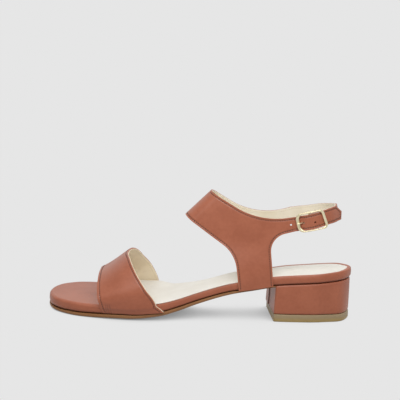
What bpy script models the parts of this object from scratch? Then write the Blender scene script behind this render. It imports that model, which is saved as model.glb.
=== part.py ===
"""Left sandal with a low block heel, a broad vamp strap and a T-shaped ankle upper with a buckled strap.

Shapes are worked out in millimetres: toe towards -X, the foot's outer side towards -Y, floor at z = 0.
The origin lies on the floor under the middle of the shoe. Meshes are scaled to metres as they are made.
"""

import math

import bmesh
import bpy
import numpy as np

MM = 0.001
GAP = 0.3
MERGE = 0.001
SHARP_ANGLE = math.radians(40)

# Driving dimensions, in millimetres
LENGTH = 249.6
BALL_WIDTH = 78.5
HEEL_HEIGHT = 28.7
INSTEP_HEIGHT = 101.7
WALL = 1.8
HEEL_AXIS = -4.3
HEEL_X = LENGTH / 2
BREAST_X = {-1: 61.2, 1: 58.2}
BREAST_LEAN = 1.3

# Footbed outline: share of the length from the heel, outer and inner half widths as shares of the ball width
OUTLINE = (
    (0.03, 0.190, 0.172),
    (0.10, 0.292, 0.280),
    (0.20, 0.312, 0.308),
    (0.35, 0.296, 0.218),
    (0.50, 0.347, 0.157),
    (0.57, 0.400, 0.252),
    (0.63, 0.434, 0.400),
    (0.72, 0.446, 0.520),
    (0.83, 0.385, 0.555),
    (0.93, 0.274, 0.497),
    (0.98, 0.153, 0.370),
)
TOE_END = 0.09

# Side profile: share of the length, underside as a share of the heel height, outsole and footbed thickness
PROFILE = (
    (0.000, 1.095, 1.2, 6.2),
    (0.256, 1.000, 1.2, 6.0),
    (0.370, 0.850, 2.4, 6.0),
    (0.500, 0.525, 2.8, 6.0),
    (0.620, 0.230, 2.8, 6.2),
    (0.715, 0.000, 2.8, 6.4),
    (0.860, 0.000, 2.8, 7.0),
    (0.940, 0.077, 2.8, 7.0),
    (1.000, 0.174, 2.6, 6.6),
)

# Edge sections of the sole pieces: inset from the footbed outline, share of the piece's thickness
OUTSOLE_EDGE = ((3.2, 0.0), (-0.2, 0.4), (-1.0, 0.75), (-0.8, 1.0))
FOOTBED_EDGE = ((1.4, 0.0), (0.3, 0.15), (0.0, 0.45), (0.2, 0.8), (0.7, 0.95), (1.5, 1.0))
SOCK_EDGE = ((1.9, 0.0), (1.7, 0.5), (2.1, 1.0))
HEEL_EDGE = ((0.9, 0.0), (0.7, 0.1), (0.8, 0.5), (1.0, 0.95), (1.3, 1.0))
TOP_PIECE_EDGE = ((1.5, 0.0), (1.0, 0.1), (0.9, 0.9), (1.1, 1.0))
SOCK_THICK = 0.8
SOCK_FRONT = 0.775
TOP_PIECE_THICK = 6.0
STATIONS = 40
FOOTBED_STATIONS = 48
HEEL_STATIONS = 20
OUTLINE_STEPS = 24

# Vamp strap: place round the foot from outer (-1) to inner (1) edge, front and rear edge shares of length
VAMP = (
    (-1.00, 0.810, 0.622),
    (-0.84, 0.815, 0.640),
    (-0.70, 0.822, 0.682),
    (-0.50, 0.826, 0.710),
    (0.00, 0.828, 0.732),
    (0.50, 0.830, 0.694),
    (0.70, 0.826, 0.667),
    (0.84, 0.820, 0.645),
    (1.00, 0.815, 0.632),
)
VAMP_WALL_SHARE = 0.16
VAMP_SPRING_DROP = 1.0
VAMP_CREST_Y = 2.0
VAMP_FULLNESS = 2.2
VAMP_COLUMNS = 32
VAMP_ROWS = 8

# Ridge of the last over the instep: distance ahead of the heel, height
RIDGE = ((222.0, 28.2), (206.5, 35.0), (182.8, 50.0), (137.9, 81.2), (117.4, INSTEP_HEIGHT))

# Ankle upper seen from the side: corners as x, height and the radius that rounds them
CREST_TOP = (7.4, INSTEP_HEIGHT)
CREST_LOW = (-13.1, 81.2)
STRAP_START_X = 74.8
COLLAR = ((*CREST_TOP, 0), (46.1, 80.5, 60), (STRAP_START_X, 86.1, 0))
LEG_FRONT = ((*CREST_LOW, 0), (27.4, 53.8, 26), (31.4, None, 0))
LEG_REAR = ((58.9, None, 0), (54.8, 69.0, 15), (STRAP_START_X, 75.5, 0))
INNER_LEG_SHIFT = 1.8
LEG_COLLAR = (0.42, 0.70)
BAND_RIBS = 16
BAND_CROWDING = 1.4
LEG_RIBS = 6
FILLET_RIBS = 12
UPPER_ROWS = 5
LEG_BLEND_RISE = 1.0
LEG_BLEND_TOP = 66.0
PATH_SAMPLES = 400
ARC_STEPS = 10

# Ankle loop in plan: a small circle at the instep and a large one at the heel, joined by their tangents
LOOP_FRONT_R = 12.0
LOOP_BACK_R = 25.0
LOOP_BACK_X = 110.6
BACK_LEAN = 0.18
BACK_LEAN_FROM = 85.0

# Back straps: distance from a quarter, middle height of the punched strap, of the buckle strap on the
# outer and the inner side, and half width
STRAP = (
    (0.0, 80.8, 80.8, 80.8, 5.3),
    (12.0, 83.8, 83.6, 82.4, 5.8),
    (26.0, 87.6, 86.8, 85.2, 6.0),
    (50.2, 90.4, 88.2, 88.2, 6.0),
)
PUNCHED, BUCKLE_OUTER, BUCKLE_INNER, HALF_WIDTH = 1, 2, 3, 4
STRAP_STEP = 2.28
TAIL_RIBS = 20
BAR_AT = 11.3

# Cut of the punched strap's end at its upper and lower edge: length, and depth as a share of the half width
TAIL_CUT = ((8.0, 0.72), (2.5, 0.85))

# Lap of the punched strap over the buckle strap, and the prong's slot and the buckle strap's end
OVERLAP = WALL + GAP
LAP_RISE = (2.0, 9.0)
PRONG_SLOT = (1, 3)
STRAP_END_SLANT = 14.0

# Buckle: wire radius, half length and half height to the wire's middle, corner radius and tilt
WIRE_R = 0.8
FRAME_HALF = (10.5, 7.3)
FRAME_CORNER = 3.0
FRAME_TILT = math.radians(15)
FRAME_LIFT = {-1: 2.2, 1: 4.2}
PRONG_R = 0.6
TUBE_SIDES = 8
FRAME_CORNER_STEPS = 4
FRAME_STEPS = 48
BAR_STEPS = 24
PRONG_STEPS = 12

# Prong between its bar and the far bar: distance ahead of its bar, height over the strap
PRONG_BEND = ((-4.4, -0.3), (-6.0, 0.8), (-8.0, 2.9))
PRONG_REST = (1.2, -1.2)

# Finishes: colour, roughness, metallic
FINISHES = {
    "brown_leather": ((0.37, 0.14, 0.085), 0.45, 0.0),
    "cream_leather": ((0.72, 0.66, 0.57), 0.6, 0.0),
    "tan_sole": ((0.32, 0.16, 0.07), 0.55, 0.0),
    "amber_rubber": ((0.32, 0.23, 0.11), 0.5, 0.0),
    "pale_gold": ((0.75, 0.68, 0.45), 0.25, 1.0),
}


def smooth(knots, values, at):
    """Cubic curve through the knots that never overshoots: it is level where the values turn."""
    knots = np.asarray(knots, float)
    values = np.asarray(values, float)
    at = np.asarray(at, float)
    step = np.diff(knots)
    rise = np.diff(values) / step
    before, after = rise[:-1], rise[1:]
    same = before * after > 0
    near = 2 * step[1:] + step[:-1]
    far = step[1:] + 2 * step[:-1]
    inner = np.zeros(len(before))
    inner[same] = (near + far)[same] / (near[same] / before[same] + far[same] / after[same])
    slope = np.concatenate(([rise[0]], inner, [rise[-1]]))
    i = np.clip(np.searchsorted(knots, at) - 1, 0, len(step) - 1)
    t = (at - knots[i]) / step[i]
    bend = t * (1 - t)
    start = slope[i] * step[i] - (values[i + 1] - values[i])
    end = (values[i + 1] - values[i]) - slope[i + 1] * step[i]
    return values[i] + t * (values[i + 1] - values[i]) + bend * ((1 - t) * start + t * end)


def ease(t):
    """Smooth step from 0 to 1."""
    t = np.clip(t, 0.0, 1.0)
    return t * t * (3 - 2 * t)


def column(table, index):
    return np.array([row[index] for row in table], float)


def resample(points, count):
    """The same open curve with its points evenly spaced along it."""
    length = np.concatenate(([0.0], np.cumsum(np.linalg.norm(np.diff(points, axis=0), axis=1))))
    places = np.linspace(0.0, length[-1], count)
    return np.stack([np.interp(places, length, points[:, k]) for k in range(points.shape[1])], axis=1)


def evenly(points):
    """The point at each share of an open curve's length."""
    fine = resample(points, PATH_SAMPLES)
    return lambda share: fine[round(share * (PATH_SAMPLES - 1))]


def closed_curve(points, per_span):
    """Smooth closed curve through points, with each slope that of a parabola through three neighbours."""
    points = np.asarray(points, float)
    ahead = np.roll(points, -1, axis=0) - points
    chord = np.linalg.norm(ahead, axis=1)[:, None]
    ahead_slope = ahead / chord
    behind_slope = np.roll(ahead_slope, 1, axis=0)
    behind_chord = np.roll(chord, 1, axis=0)
    slope = (ahead_slope * behind_chord + behind_slope * chord) / (chord + behind_chord)
    t = np.linspace(0.0, 1.0, per_span, endpoint=False)[None, :, None]
    start, end = points[:, None], np.roll(points, -1, axis=0)[:, None]
    leave = (slope * chord)[:, None]
    arrive = (np.roll(slope, -1, axis=0) * chord)[:, None]
    curve = (
        (1 + 2 * t) * (1 - t) ** 2 * start
        + t * (1 - t) ** 2 * leave
        + t * t * (3 - 2 * t) * end
        - t * t * (1 - t) * arrive
    )
    return curve.reshape(-1, points.shape[1])


def footbed_edges():
    """Each side's dense outline from heel end to toe end, as x, y and the outward normal."""
    along = HEEL_X - column(OUTLINE, 0) * LENGTH
    outer = np.stack([along, HEEL_AXIS - column(OUTLINE, 1) * BALL_WIDTH], axis=1)
    inner = np.stack([along, HEEL_AXIS + column(OUTLINE, 2) * BALL_WIDTH], axis=1)
    heel_end = [[HEEL_X, HEEL_AXIS]]
    toe_end = [[HEEL_X - LENGTH, HEEL_AXIS + TOE_END * BALL_WIDTH]]
    curve = closed_curve(np.concatenate([heel_end, outer, toe_end, inner[::-1]]), OUTLINE_STEPS)
    tangent = np.roll(curve, -1, axis=0) - np.roll(curve, 1, axis=0)
    tangent /= np.linalg.norm(tangent, axis=1)[:, None]
    whole = np.concatenate([curve, np.stack([-tangent[:, 1], tangent[:, 0]], axis=1)], axis=1)
    toe = OUTLINE_STEPS * (len(OUTLINE) + 1)
    closing = np.concatenate([whole[toe:], whole[:1]])
    return {-1: whole[: toe + 1], 1: closing[::-1]}


EDGES = footbed_edges()


def edge(side, inset, count, low=-math.inf, high=math.inf):
    """Points of one side's outline, moved inwards, between two places along the shoe."""
    rows = EDGES[side]
    moved = rows[:, :2] - inset * rows[:, 2:]
    order = np.argsort(moved[:, 0])
    parts = [moved[(moved[:, 0] > low) & (moved[:, 0] < high)]]
    if math.isfinite(high):
        parts.insert(0, [[high, np.interp(high, moved[order, 0], moved[order, 1])]])
    if math.isfinite(low):
        parts.append([[low, np.interp(low, moved[order, 0], moved[order, 1])]])
    return resample(np.concatenate(parts), count)


def edge_half_width(side, x):
    """Distance of the footbed's edge from the heel's axis."""
    rows = EDGES[side][np.argsort(EDGES[side][:, 0])]
    return np.abs(np.interp(x, rows[:, 0], rows[:, 1]) - HEEL_AXIS)


def profile(x, index):
    return smooth(column(PROFILE, 0), column(PROFILE, index), (HEEL_X - np.asarray(x)) / LENGTH)


def sole_line(x):
    return profile(x, 1) * HEEL_HEIGHT


def outsole_top(x):
    return sole_line(x) + profile(x, 2)


def footbed_base(x):
    return outsole_top(x) + GAP


def footbed_top(x):
    return footbed_base(x) + profile(x, 3)


def new_object(name, points, faces, finish):
    """Mesh object from millimetre points, with doubles merged and faces turned outwards."""
    mesh = bpy.data.meshes.new(name)
    mesh.from_pydata((np.asarray(points) * MM).tolist(), [], [list(map(int, face)) for face in faces])
    work = bmesh.new()
    work.from_mesh(mesh)
    bmesh.ops.remove_doubles(work, verts=work.verts, dist=MERGE * MM)
    bmesh.ops.recalc_face_normals(work, faces=work.faces)
    work.to_mesh(mesh)
    work.free()
    mesh.shade_smooth()
    mesh.set_sharp_from_angle(angle=SHARP_ANGLE)
    thing = bpy.data.objects.new(name, mesh)
    bpy.context.collection.objects.link(thing)
    mesh.materials.append(FINISH[finish])
    return thing


def finish_material(name, colour, roughness, metallic):
    material = bpy.data.materials.new(name)
    material.use_nodes = True
    shader = material.node_tree.nodes["Principled BSDF"]
    shader.inputs["Base Color"].default_value = (*colour, 1.0)
    shader.inputs["Roughness"].default_value = roughness
    shader.inputs["Metallic"].default_value = metallic
    return material


def slab(name, rings, finish):
    """Closed body through rings, each a pair of outer and inner side points that face each other."""
    loops = [np.concatenate([outer, inner[::-1]]) for outer, inner in rings]
    size = len(loops[0])
    faces = []
    for ring in range(len(loops) - 1):
        low, high = ring * size, (ring + 1) * size
        for i in range(size):
            j = (i + 1) % size
            faces.append((low + i, low + j, high + j, high + i))
    for base in (0, (len(loops) - 1) * size):
        for i in range(size // 2 - 1):
            faces.append((base + i, base + i + 1, base + size - 2 - i, base + size - 1 - i))
    return new_object(name, np.concatenate(loops), faces, finish)


def sole_ring(inset, heights, limits, count):
    """Outer and inner side points of one ring; heights gives z at each x, limits the x range of each side."""
    sides = []
    for side in (-1, 1):
        plan = edge(side, inset, count, *limits[side])
        sides.append(np.column_stack([plan, heights(plan[:, 0])]))
    return sides


def layer(base, thickness, share):
    """Height function at a share of a layer's thickness."""
    return lambda x: base(x) + share * thickness(x)


def make_outsole():
    limits = {side: (-math.inf, BREAST_X[side] + BREAST_LEAN) for side in (-1, 1)}
    rings = []
    for inset, share in OUTSOLE_EDGE:
        heights = layer(sole_line, lambda x: profile(x, 2), share)
        rings.append(sole_ring(inset, heights, limits, STATIONS))
    return slab("outsole", rings, "tan_sole")


def make_footbed():
    whole = {side: (-math.inf, math.inf) for side in (-1, 1)}
    rings = []
    for inset, share in FOOTBED_EDGE:
        heights = layer(footbed_base, lambda x: profile(x, 3), share)
        rings.append(sole_ring(inset, heights, whole, FOOTBED_STATIONS))
    return slab("footbed", rings, "brown_leather")


def make_sock():
    limits = {side: (HEEL_X - SOCK_FRONT * LENGTH, math.inf) for side in (-1, 1)}
    rings = []
    for inset, share in SOCK_EDGE:
        heights = layer(footbed_top, lambda x: SOCK_THICK, share)
        rings.append(sole_ring(inset, lambda x: heights(x) + GAP, limits, STATIONS))
    return slab("sock_lining", rings, "cream_leather")


def make_heel():
    low = TOP_PIECE_THICK + GAP
    rings = []
    for inset, share in HEEL_EDGE:
        limits = {side: (BREAST_X[side] + BREAST_LEAN * (1 - share) + GAP, math.inf) for side in (-1, 1)}
        heights = layer(outsole_top, lambda x: low - outsole_top(x), share)
        rings.append(sole_ring(inset, heights, limits, HEEL_STATIONS))
    return slab("heel", rings, "brown_leather")


def make_top_piece():
    limits = {side: (BREAST_X[side] + GAP, math.inf) for side in (-1, 1)}
    rings = []
    for inset, share in TOP_PIECE_EDGE:
        heights = layer(np.zeros_like, lambda x: TOP_PIECE_THICK, share)
        rings.append(sole_ring(inset, heights, limits, HEEL_STATIONS))
    return slab("heel_top_piece", rings, "amber_rubber")


def sheet(name, columns, finish, missing=()):
    """Leather wall of even thickness through columns of points; missing cells are left open."""
    first = np.concatenate(([0], np.cumsum([len(points) for points in columns])))
    faces = []
    for i in range(len(columns) - 1):
        here, beyond = first[i], first[i + 1]
        for j in range(min(len(columns[i]), len(columns[i + 1])) - 1):
            if (i, j) not in missing:
                faces.append((here + j, here + j + 1, beyond + j + 1, beyond + j))
    thing = new_object(name, np.concatenate(columns), faces, finish)
    wall = thing.modifiers.new("wall", "SOLIDIFY")
    wall.thickness = WALL * MM
    wall.offset = 0.0
    return thing


def ridge_height(x):
    """Height of the middle of the wall along the last's ridge."""
    return smooth(-column(RIDGE, 0), column(RIDGE, 1), np.asarray(x) - HEEL_X) - WALL / 2


def vamp_point(x, around):
    """Point of the vamp: an upright wall beside the footbed, then a full arch up to the ridge."""
    side = -1 if around < 0 else 1
    edge_y = side * (edge_half_width(side, x) + GAP + WALL / 2)
    base = outsole_top(x) + GAP
    spring = footbed_top(x) - VAMP_SPRING_DROP
    away = abs(around)
    arch_end = 1 - VAMP_WALL_SHARE
    up = np.clip(1 - away / arch_end, 0.0, 1.0) * math.pi / 2
    power = 2 / VAMP_FULLNESS
    y = VAMP_CREST_Y + (edge_y - VAMP_CREST_Y) * np.cos(up) ** power
    z = spring + (ridge_height(x) - spring) * np.sin(up) ** power
    down = max(away - arch_end, 0.0) / VAMP_WALL_SHARE
    return np.stack([x, HEEL_AXIS + y, z - down * (spring - base)], axis=-1)


def make_vamp():
    columns = []
    for around in np.linspace(-1, 1, VAMP_COLUMNS + 1):
        front = smooth(column(VAMP, 0), column(VAMP, 1), around)
        rear = smooth(column(VAMP, 0), column(VAMP, 2), around)
        x = HEEL_X - LENGTH * np.linspace(front, rear, VAMP_ROWS + 1)
        columns.append(vamp_point(x, around))
    return sheet("vamp_strap", columns, "brown_leather")


def rounded_path(corners):
    """Straight runs through corners of x, height and radius, with each corner turned by an arc."""
    path = [np.array(corners[0][:2], float)]
    for before, corner, after in zip(corners, corners[1:], corners[2:]):
        at = np.array(corner[:2], float)
        back = np.array(before[:2], float) - at
        ahead = np.array(after[:2], float) - at
        back /= np.linalg.norm(back)
        ahead /= np.linalg.norm(ahead)
        half = math.acos(float(np.clip(back @ ahead, -1, 1))) / 2
        centre = at + (back + ahead) / np.linalg.norm(back + ahead) * corner[2] / math.sin(half)
        start = at + back * corner[2] / math.tan(half) - centre
        end = at + ahead * corner[2] / math.tan(half) - centre
        turn = math.pi - 2 * half
        for k in range(ARC_STEPS + 1):
            t = k / ARC_STEPS
            spoke = math.sin((1 - t) * turn) * start + math.sin(t * turn) * end
            path.append(centre + spoke / math.sin(turn))
    path.append(np.array(corners[-1][:2], float))
    return np.array(path)


def loop_at(x, z):
    """Half width of the ankle loop at x and z, and the outward normal there, for the inner side."""
    front = CREST_TOP[0] - (CREST_TOP[1] - z) * (CREST_TOP[0] - CREST_LOW[0]) / (CREST_TOP[1] - CREST_LOW[1])
    front_x = front + LOOP_FRONT_R
    back_x = LOOP_BACK_X - LOOP_BACK_R
    lean = (LOOP_BACK_R - LOOP_FRONT_R) / (back_x - front_x)
    level = math.sqrt(1 - lean * lean)
    if x < front_x - LOOP_FRONT_R * lean:
        half = math.sqrt(max(LOOP_FRONT_R**2 - (x - front_x) ** 2, 0.0))
        return half, (x - front_x) / LOOP_FRONT_R, half / LOOP_FRONT_R
    if x > back_x - LOOP_BACK_R * lean:
        half = math.sqrt(max(LOOP_BACK_R**2 - (x - back_x) ** 2, 0.0))
        return half, (x - back_x) / LOOP_BACK_R, half / LOOP_BACK_R
    return LOOP_FRONT_R * level + (x - front_x + LOOP_FRONT_R * lean) * lean / level, -lean, level


def ankle_point(x, z, side, out=0.0):
    """Middle of the ankle upper's wall: the loop above, drawn to the footbed's edge at the sole."""
    half, normal_x, normal_y = loop_at(x, z)
    foot = edge_half_width(side, x) + GAP + WALL / 2
    start = footbed_top(x) + LEG_BLEND_RISE
    share = ease((z - start) / (LEG_BLEND_TOP - start))
    half = foot + (half - foot) * share
    lean = BACK_LEAN * (z - BACK_LEAN_FROM) * ease((x - STRAP_START_X) / (LOOP_BACK_X - STRAP_START_X))
    return (x + normal_x * out - lean, HEEL_AXIS + side * (half + normal_y * out), z)


def strap_run():
    """Slope and length of the strap's straight run, and its length from start to the middle of the heel."""
    _, normal_x, level = loop_at(STRAP_START_X, STRAP[0][1])
    straight = (LOOP_BACK_X - LOOP_BACK_R + LOOP_BACK_R * normal_x - STRAP_START_X) / level
    return normal_x, straight, straight + LOOP_BACK_R * (math.pi / 2 - math.asin(normal_x))


def strap_x(distance):
    """Place along the shoe of a distance along the strap: a straight run, then round the heel."""
    normal_x, straight, _ = strap_run()
    if distance < straight:
        return STRAP_START_X + distance * math.sqrt(1 - normal_x**2)
    turn = math.asin(normal_x) + (distance - straight) / LOOP_BACK_R
    return LOOP_BACK_X - LOOP_BACK_R + LOOP_BACK_R * math.sin(turn)


def strap_point(distance, height, side, out=0.0):
    return ankle_point(strap_x(distance), height, side, out)


def strap_size(distance, index):
    """One of the straps' sizes at a distance along them."""
    return float(smooth(column(STRAP, 0), column(STRAP, index), distance))


def lap(distance):
    """How far the punched strap stands out where it lies over the buckle's bar and the other strap."""
    return OVERLAP * float(ease((distance - LAP_RISE[0]) / (LAP_RISE[1] - LAP_RISE[0])))


def straight_rib(top, base, rows):
    return np.linspace(np.asarray(top, float), np.asarray(base, float), rows + 1)


def quarter_columns(side):
    """Ribs of one quarter from the ridge to the strap, each from the collar down to the lower edge."""
    front, rear = [], []
    for path, corners in ((front, LEG_FRONT), (rear, LEG_REAR)):
        for x, z, radius in corners:
            if side > 0 and corners is LEG_FRONT and x != CREST_LOW[0]:
                x += INNER_LEG_SHIFT
            path.append((x, z if z is not None else float(outsole_top(x)) + GAP, radius))
    rear = rounded_path(rear)
    bottom, fillet_start = rear[:2]
    collar = evenly(rounded_path(COLLAR))
    low = evenly(rounded_path(front))
    fillet = evenly(rear[1:])
    ribs = []
    for share in np.linspace(0, 1, BAND_RIBS + 1) ** BAND_CROWDING:
        ribs.append(straight_rib(collar(share * LEG_COLLAR[0]), low(share), 2 * UPPER_ROWS))
    front_rib = ribs[-1]
    upper_rib = straight_rib(collar(LEG_COLLAR[1]), fillet_start, UPPER_ROWS)
    rear_rib = np.concatenate([upper_rib, straight_rib(fillet_start, bottom, UPPER_ROWS)[1:]])
    for share in np.linspace(0, 1, LEG_RIBS + 1)[1:]:
        rib = front_rib + share * (rear_rib - front_rib)
        down = np.linspace(0, 1, len(rib))[:, None]
        to_collar = collar(LEG_COLLAR[0] + share * (LEG_COLLAR[1] - LEG_COLLAR[0])) - rib[0]
        to_sole = np.array([0.0, outsole_top(rib[-1, 0]) + GAP - rib[-1, 1]])
        ribs.append(rib + to_collar * (1 - down) ** 2 + to_sole * down**2)
    for share in np.linspace(0, 1, FILLET_RIBS + 1)[1:]:
        top = collar(LEG_COLLAR[1] + share * (1 - LEG_COLLAR[1]))
        ribs.append(straight_rib(top, fillet(share), UPPER_ROWS))
    return [np.array([ankle_point(x, z, side) for x, z in rib]) for rib in ribs]


def strap_columns(side):
    """Ribs of one strap beyond its quarter: the punched strap with its point, or the buckle strap."""
    columns = []
    if side < 0:
        end = TAIL_RIBS * STRAP_STEP
        for k in range(1, TAIL_RIBS + 1):
            at = k * STRAP_STEP
            cut = [depth * max(1 - (end - at) / run, 0.0) for run, depth in TAIL_CUT]
            offsets = strap_size(at, HALF_WIDTH) * np.linspace(1 - cut[0], cut[1] - 1, UPPER_ROWS + 1)
            heights = strap_size(at, PUNCHED) + offsets
            columns.append(np.array([strap_point(at, z, side, lap(at)) for z in heights]))
        return columns
    half_loop = strap_run()[2]
    end = 2 * half_loop - BAR_AT - WIRE_R - GAP
    ribs = round(end / STRAP_STEP)
    for k in range(1, ribs + 1):
        at = end * k / ribs
        here, which, index = (at, 1, BUCKLE_INNER)
        if at > half_loop:
            here, which, index = (2 * half_loop - at, -1, BUCKLE_OUTER)
        offsets = strap_size(here, HALF_WIDTH) * np.linspace(1, -1, UPPER_ROWS + 1)
        slant = math.tan(FRAME_TILT) * float(ease(1 - (end - at) / STRAP_END_SLANT))
        middle = strap_size(here, index)
        columns.append(np.array([strap_point(here - slant * up, middle + up, which) for up in offsets]))
    return columns


def make_ankle_upper():
    inner = quarter_columns(1) + strap_columns(1)
    outer = quarter_columns(-1)
    strap_first = len(inner) - 1 + len(outer) - 1
    columns = inner[:0:-1] + outer + strap_columns(-1)
    slot = {(strap_first + rib, UPPER_ROWS // 2) for rib in range(*PRONG_SLOT)}
    return sheet("ankle_upper", columns, "brown_leather", slot)


def tube(name, path, radius, finish, closed):
    """Round wire along a path, with each ring square to the path."""
    path = np.asarray(path, float)
    count = len(path)
    if closed:
        tangent = np.roll(path, -1, axis=0) - np.roll(path, 1, axis=0)
    else:
        tangent = np.gradient(path, axis=0)
    tangent /= np.linalg.norm(tangent, axis=1)[:, None]
    outward = np.tile([0.0, -1.0, 0.0], (count, 1))
    across = np.cross(tangent, outward)
    across /= np.linalg.norm(across, axis=1)[:, None]
    outward = np.cross(across, tangent)
    angles = np.linspace(0, 2 * math.pi, TUBE_SIDES, endpoint=False)
    rings = path[:, None] + radius * (
        np.cos(angles)[None, :, None] * across[:, None] + np.sin(angles)[None, :, None] * outward[:, None]
    )
    faces = []
    for i in range(count if closed else count - 1):
        low, high = i * TUBE_SIDES, ((i + 1) % count) * TUBE_SIDES
        for k in range(TUBE_SIDES):
            j = (k + 1) % TUBE_SIDES
            faces.append((low + k, low + j, high + j, high + k))
    if not closed:
        faces.append(tuple(range(TUBE_SIDES)))
        faces.append(tuple(range((count - 1) * TUBE_SIDES, count * TUBE_SIDES)))
    return new_object(name, rings.reshape(-1, 3), faces, finish)


def buckle_point(along, across, lift):
    """Point over the outer strap: along and across the frame from the bar, and out from the strap."""
    at = BAR_AT + along * math.cos(FRAME_TILT) - across * math.sin(FRAME_TILT)
    height = strap_size(BAR_AT, BUCKLE_OUTER) + along * math.sin(FRAME_TILT) + across * math.cos(FRAME_TILT)
    if at < 0:
        x = STRAP_START_X + at * loop_at(STRAP_START_X, height)[2]
        return ankle_point(x, height, -1, lift)
    return strap_point(at, height, -1, lift)


def make_buckle():
    half_length, half_height = FRAME_HALF
    frame = []
    for quarter, (sx, sy) in enumerate(((1, 1), (-1, 1), (-1, -1), (1, -1))):
        for k in range(FRAME_CORNER_STEPS + 1):
            angle = (quarter + k / FRAME_CORNER_STEPS) * math.pi / 2
            along = sx * (half_length - FRAME_CORNER) + FRAME_CORNER * math.cos(angle)
            across = sy * (half_height - FRAME_CORNER) + FRAME_CORNER * math.sin(angle)
            frame.append((along, across))
    closed = resample(np.array(frame + frame[:1]), FRAME_STEPS + 1)[:-1]
    path = []
    for along, across in closed:
        share = (along + half_length) / (2 * half_length)
        path.append(buckle_point(along, across, FRAME_LIFT[-1] + share * (FRAME_LIFT[1] - FRAME_LIFT[-1])))
    ring = tube("buckle_frame", path, WIRE_R, "pale_gold", True)
    top_lift = (FRAME_LIFT[-1] + FRAME_LIFT[1]) / 2
    bar_path = []
    for across, lift in ((1, top_lift), (1, 0.0), (-1, 0.0), (-1, top_lift)):
        bar_path.append(buckle_point(0.0, across * half_height, lift))
    bar = tube("buckle_bar", resample(np.array(bar_path), BAR_STEPS + 1), WIRE_R, "pale_gold", False)
    bar.hide_render = True
    bar.display_type = "WIRE"
    join = ring.modifiers.new("bar", "BOOLEAN")
    join.operation = "UNION"
    join.object = bar
    return ring


def make_prong():
    lift = FRAME_LIFT[-1] + WIRE_R + GAP + PRONG_R
    bar_side = -(WIRE_R + GAP)
    rest = [(past - FRAME_HALF[0], lift) for past in PRONG_REST]
    path = [buckle_point(along, 0.0, out) for along, out in ((bar_side, 0.0), *PRONG_BEND, *rest)]
    return tube("buckle_prong", resample(np.array(path), PRONG_STEPS + 1), PRONG_R, "pale_gold", False)


for old in list(bpy.data.objects):
    bpy.data.objects.remove(old, do_unlink=True)
FINISH = {name: finish_material(name, *row) for name, row in FINISHES.items()}
make_outsole()
make_heel()
make_top_piece()
make_footbed()
make_sock()
make_vamp()
make_ankle_upper()
make_buckle()
make_prong()
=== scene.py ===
import math

import bmesh
import bpy
import numpy as np
from mathutils import Matrix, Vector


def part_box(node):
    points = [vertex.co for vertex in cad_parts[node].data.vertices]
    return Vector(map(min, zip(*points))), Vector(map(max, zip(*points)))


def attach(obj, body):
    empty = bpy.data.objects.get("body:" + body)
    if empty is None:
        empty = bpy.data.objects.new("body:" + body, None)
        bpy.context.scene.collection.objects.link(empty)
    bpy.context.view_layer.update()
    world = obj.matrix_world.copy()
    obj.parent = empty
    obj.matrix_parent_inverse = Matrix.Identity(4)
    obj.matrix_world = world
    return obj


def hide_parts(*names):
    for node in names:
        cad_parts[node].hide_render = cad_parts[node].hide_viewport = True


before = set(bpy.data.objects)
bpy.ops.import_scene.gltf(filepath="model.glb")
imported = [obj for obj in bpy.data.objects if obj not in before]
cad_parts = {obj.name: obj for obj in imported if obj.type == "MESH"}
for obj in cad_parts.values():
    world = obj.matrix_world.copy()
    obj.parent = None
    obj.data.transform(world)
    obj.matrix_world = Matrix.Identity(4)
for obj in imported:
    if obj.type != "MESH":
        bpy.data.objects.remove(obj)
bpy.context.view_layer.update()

bpy.context.scene.view_settings.view_transform = "Standard"

# Outsole. A thin tan rubber sole from the toe to the front of the heel, cut to the footbed's outline and
# left a little proud of it. It is cemented under the footbed, and its edge is buffed and waxed.
# Sizes are in millimetres, and side -1 is the foot's outer side, 1 its inner side.
MM = 0.001
GAP = 0.3
MERGE = 0.002
SLIVER = 0.0005
foot_low, foot_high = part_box("footbed")
LENGTH = (foot_high.x - foot_low.x) / MM
HEEL_X = foot_high.x / MM
BALL_WIDTH = 78.5
HEEL_HEIGHT = 28.7
HEEL_AXIS = -4.3
TOE_END = 0.09
TOE_REACH = 1.2
BREAST_X = {-1: 60.0, 1: 57.2}
BREAST_LEAN = 0.8
CROWN = 1.1
CROWN_X = ((-12.0, -50.0), (-60.0, -98.0))
OUTSOLE_STATIONS = 150
OUTSOLE_ACROSS = 14

# inset from the footbed's outline, share of the thickness
OUTSOLE_EDGE = ((2.6, 0.0), (1.0, 0.04), (0.3, 0.16), (0.0, 0.42), (-0.05, 0.75), (0.1, 0.95), (0.5, 1.0))

# share of the length from the heel, outer and inner half width as shares of the ball width
OUTLINE = np.array((
    (0.03, 0.190, 0.172),
    (0.10, 0.292, 0.268),
    (0.20, 0.312, 0.270),
    (0.27, 0.305, 0.224),
    (0.35, 0.296, 0.205),
    (0.50, 0.347, 0.157),
    (0.57, 0.400, 0.280),
    (0.63, 0.434, 0.400),
    (0.72, 0.446, 0.520),
    (0.83, 0.396, 0.558),
    (0.93, 0.286, 0.515),
    (0.98, 0.153, 0.390),
))

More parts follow.
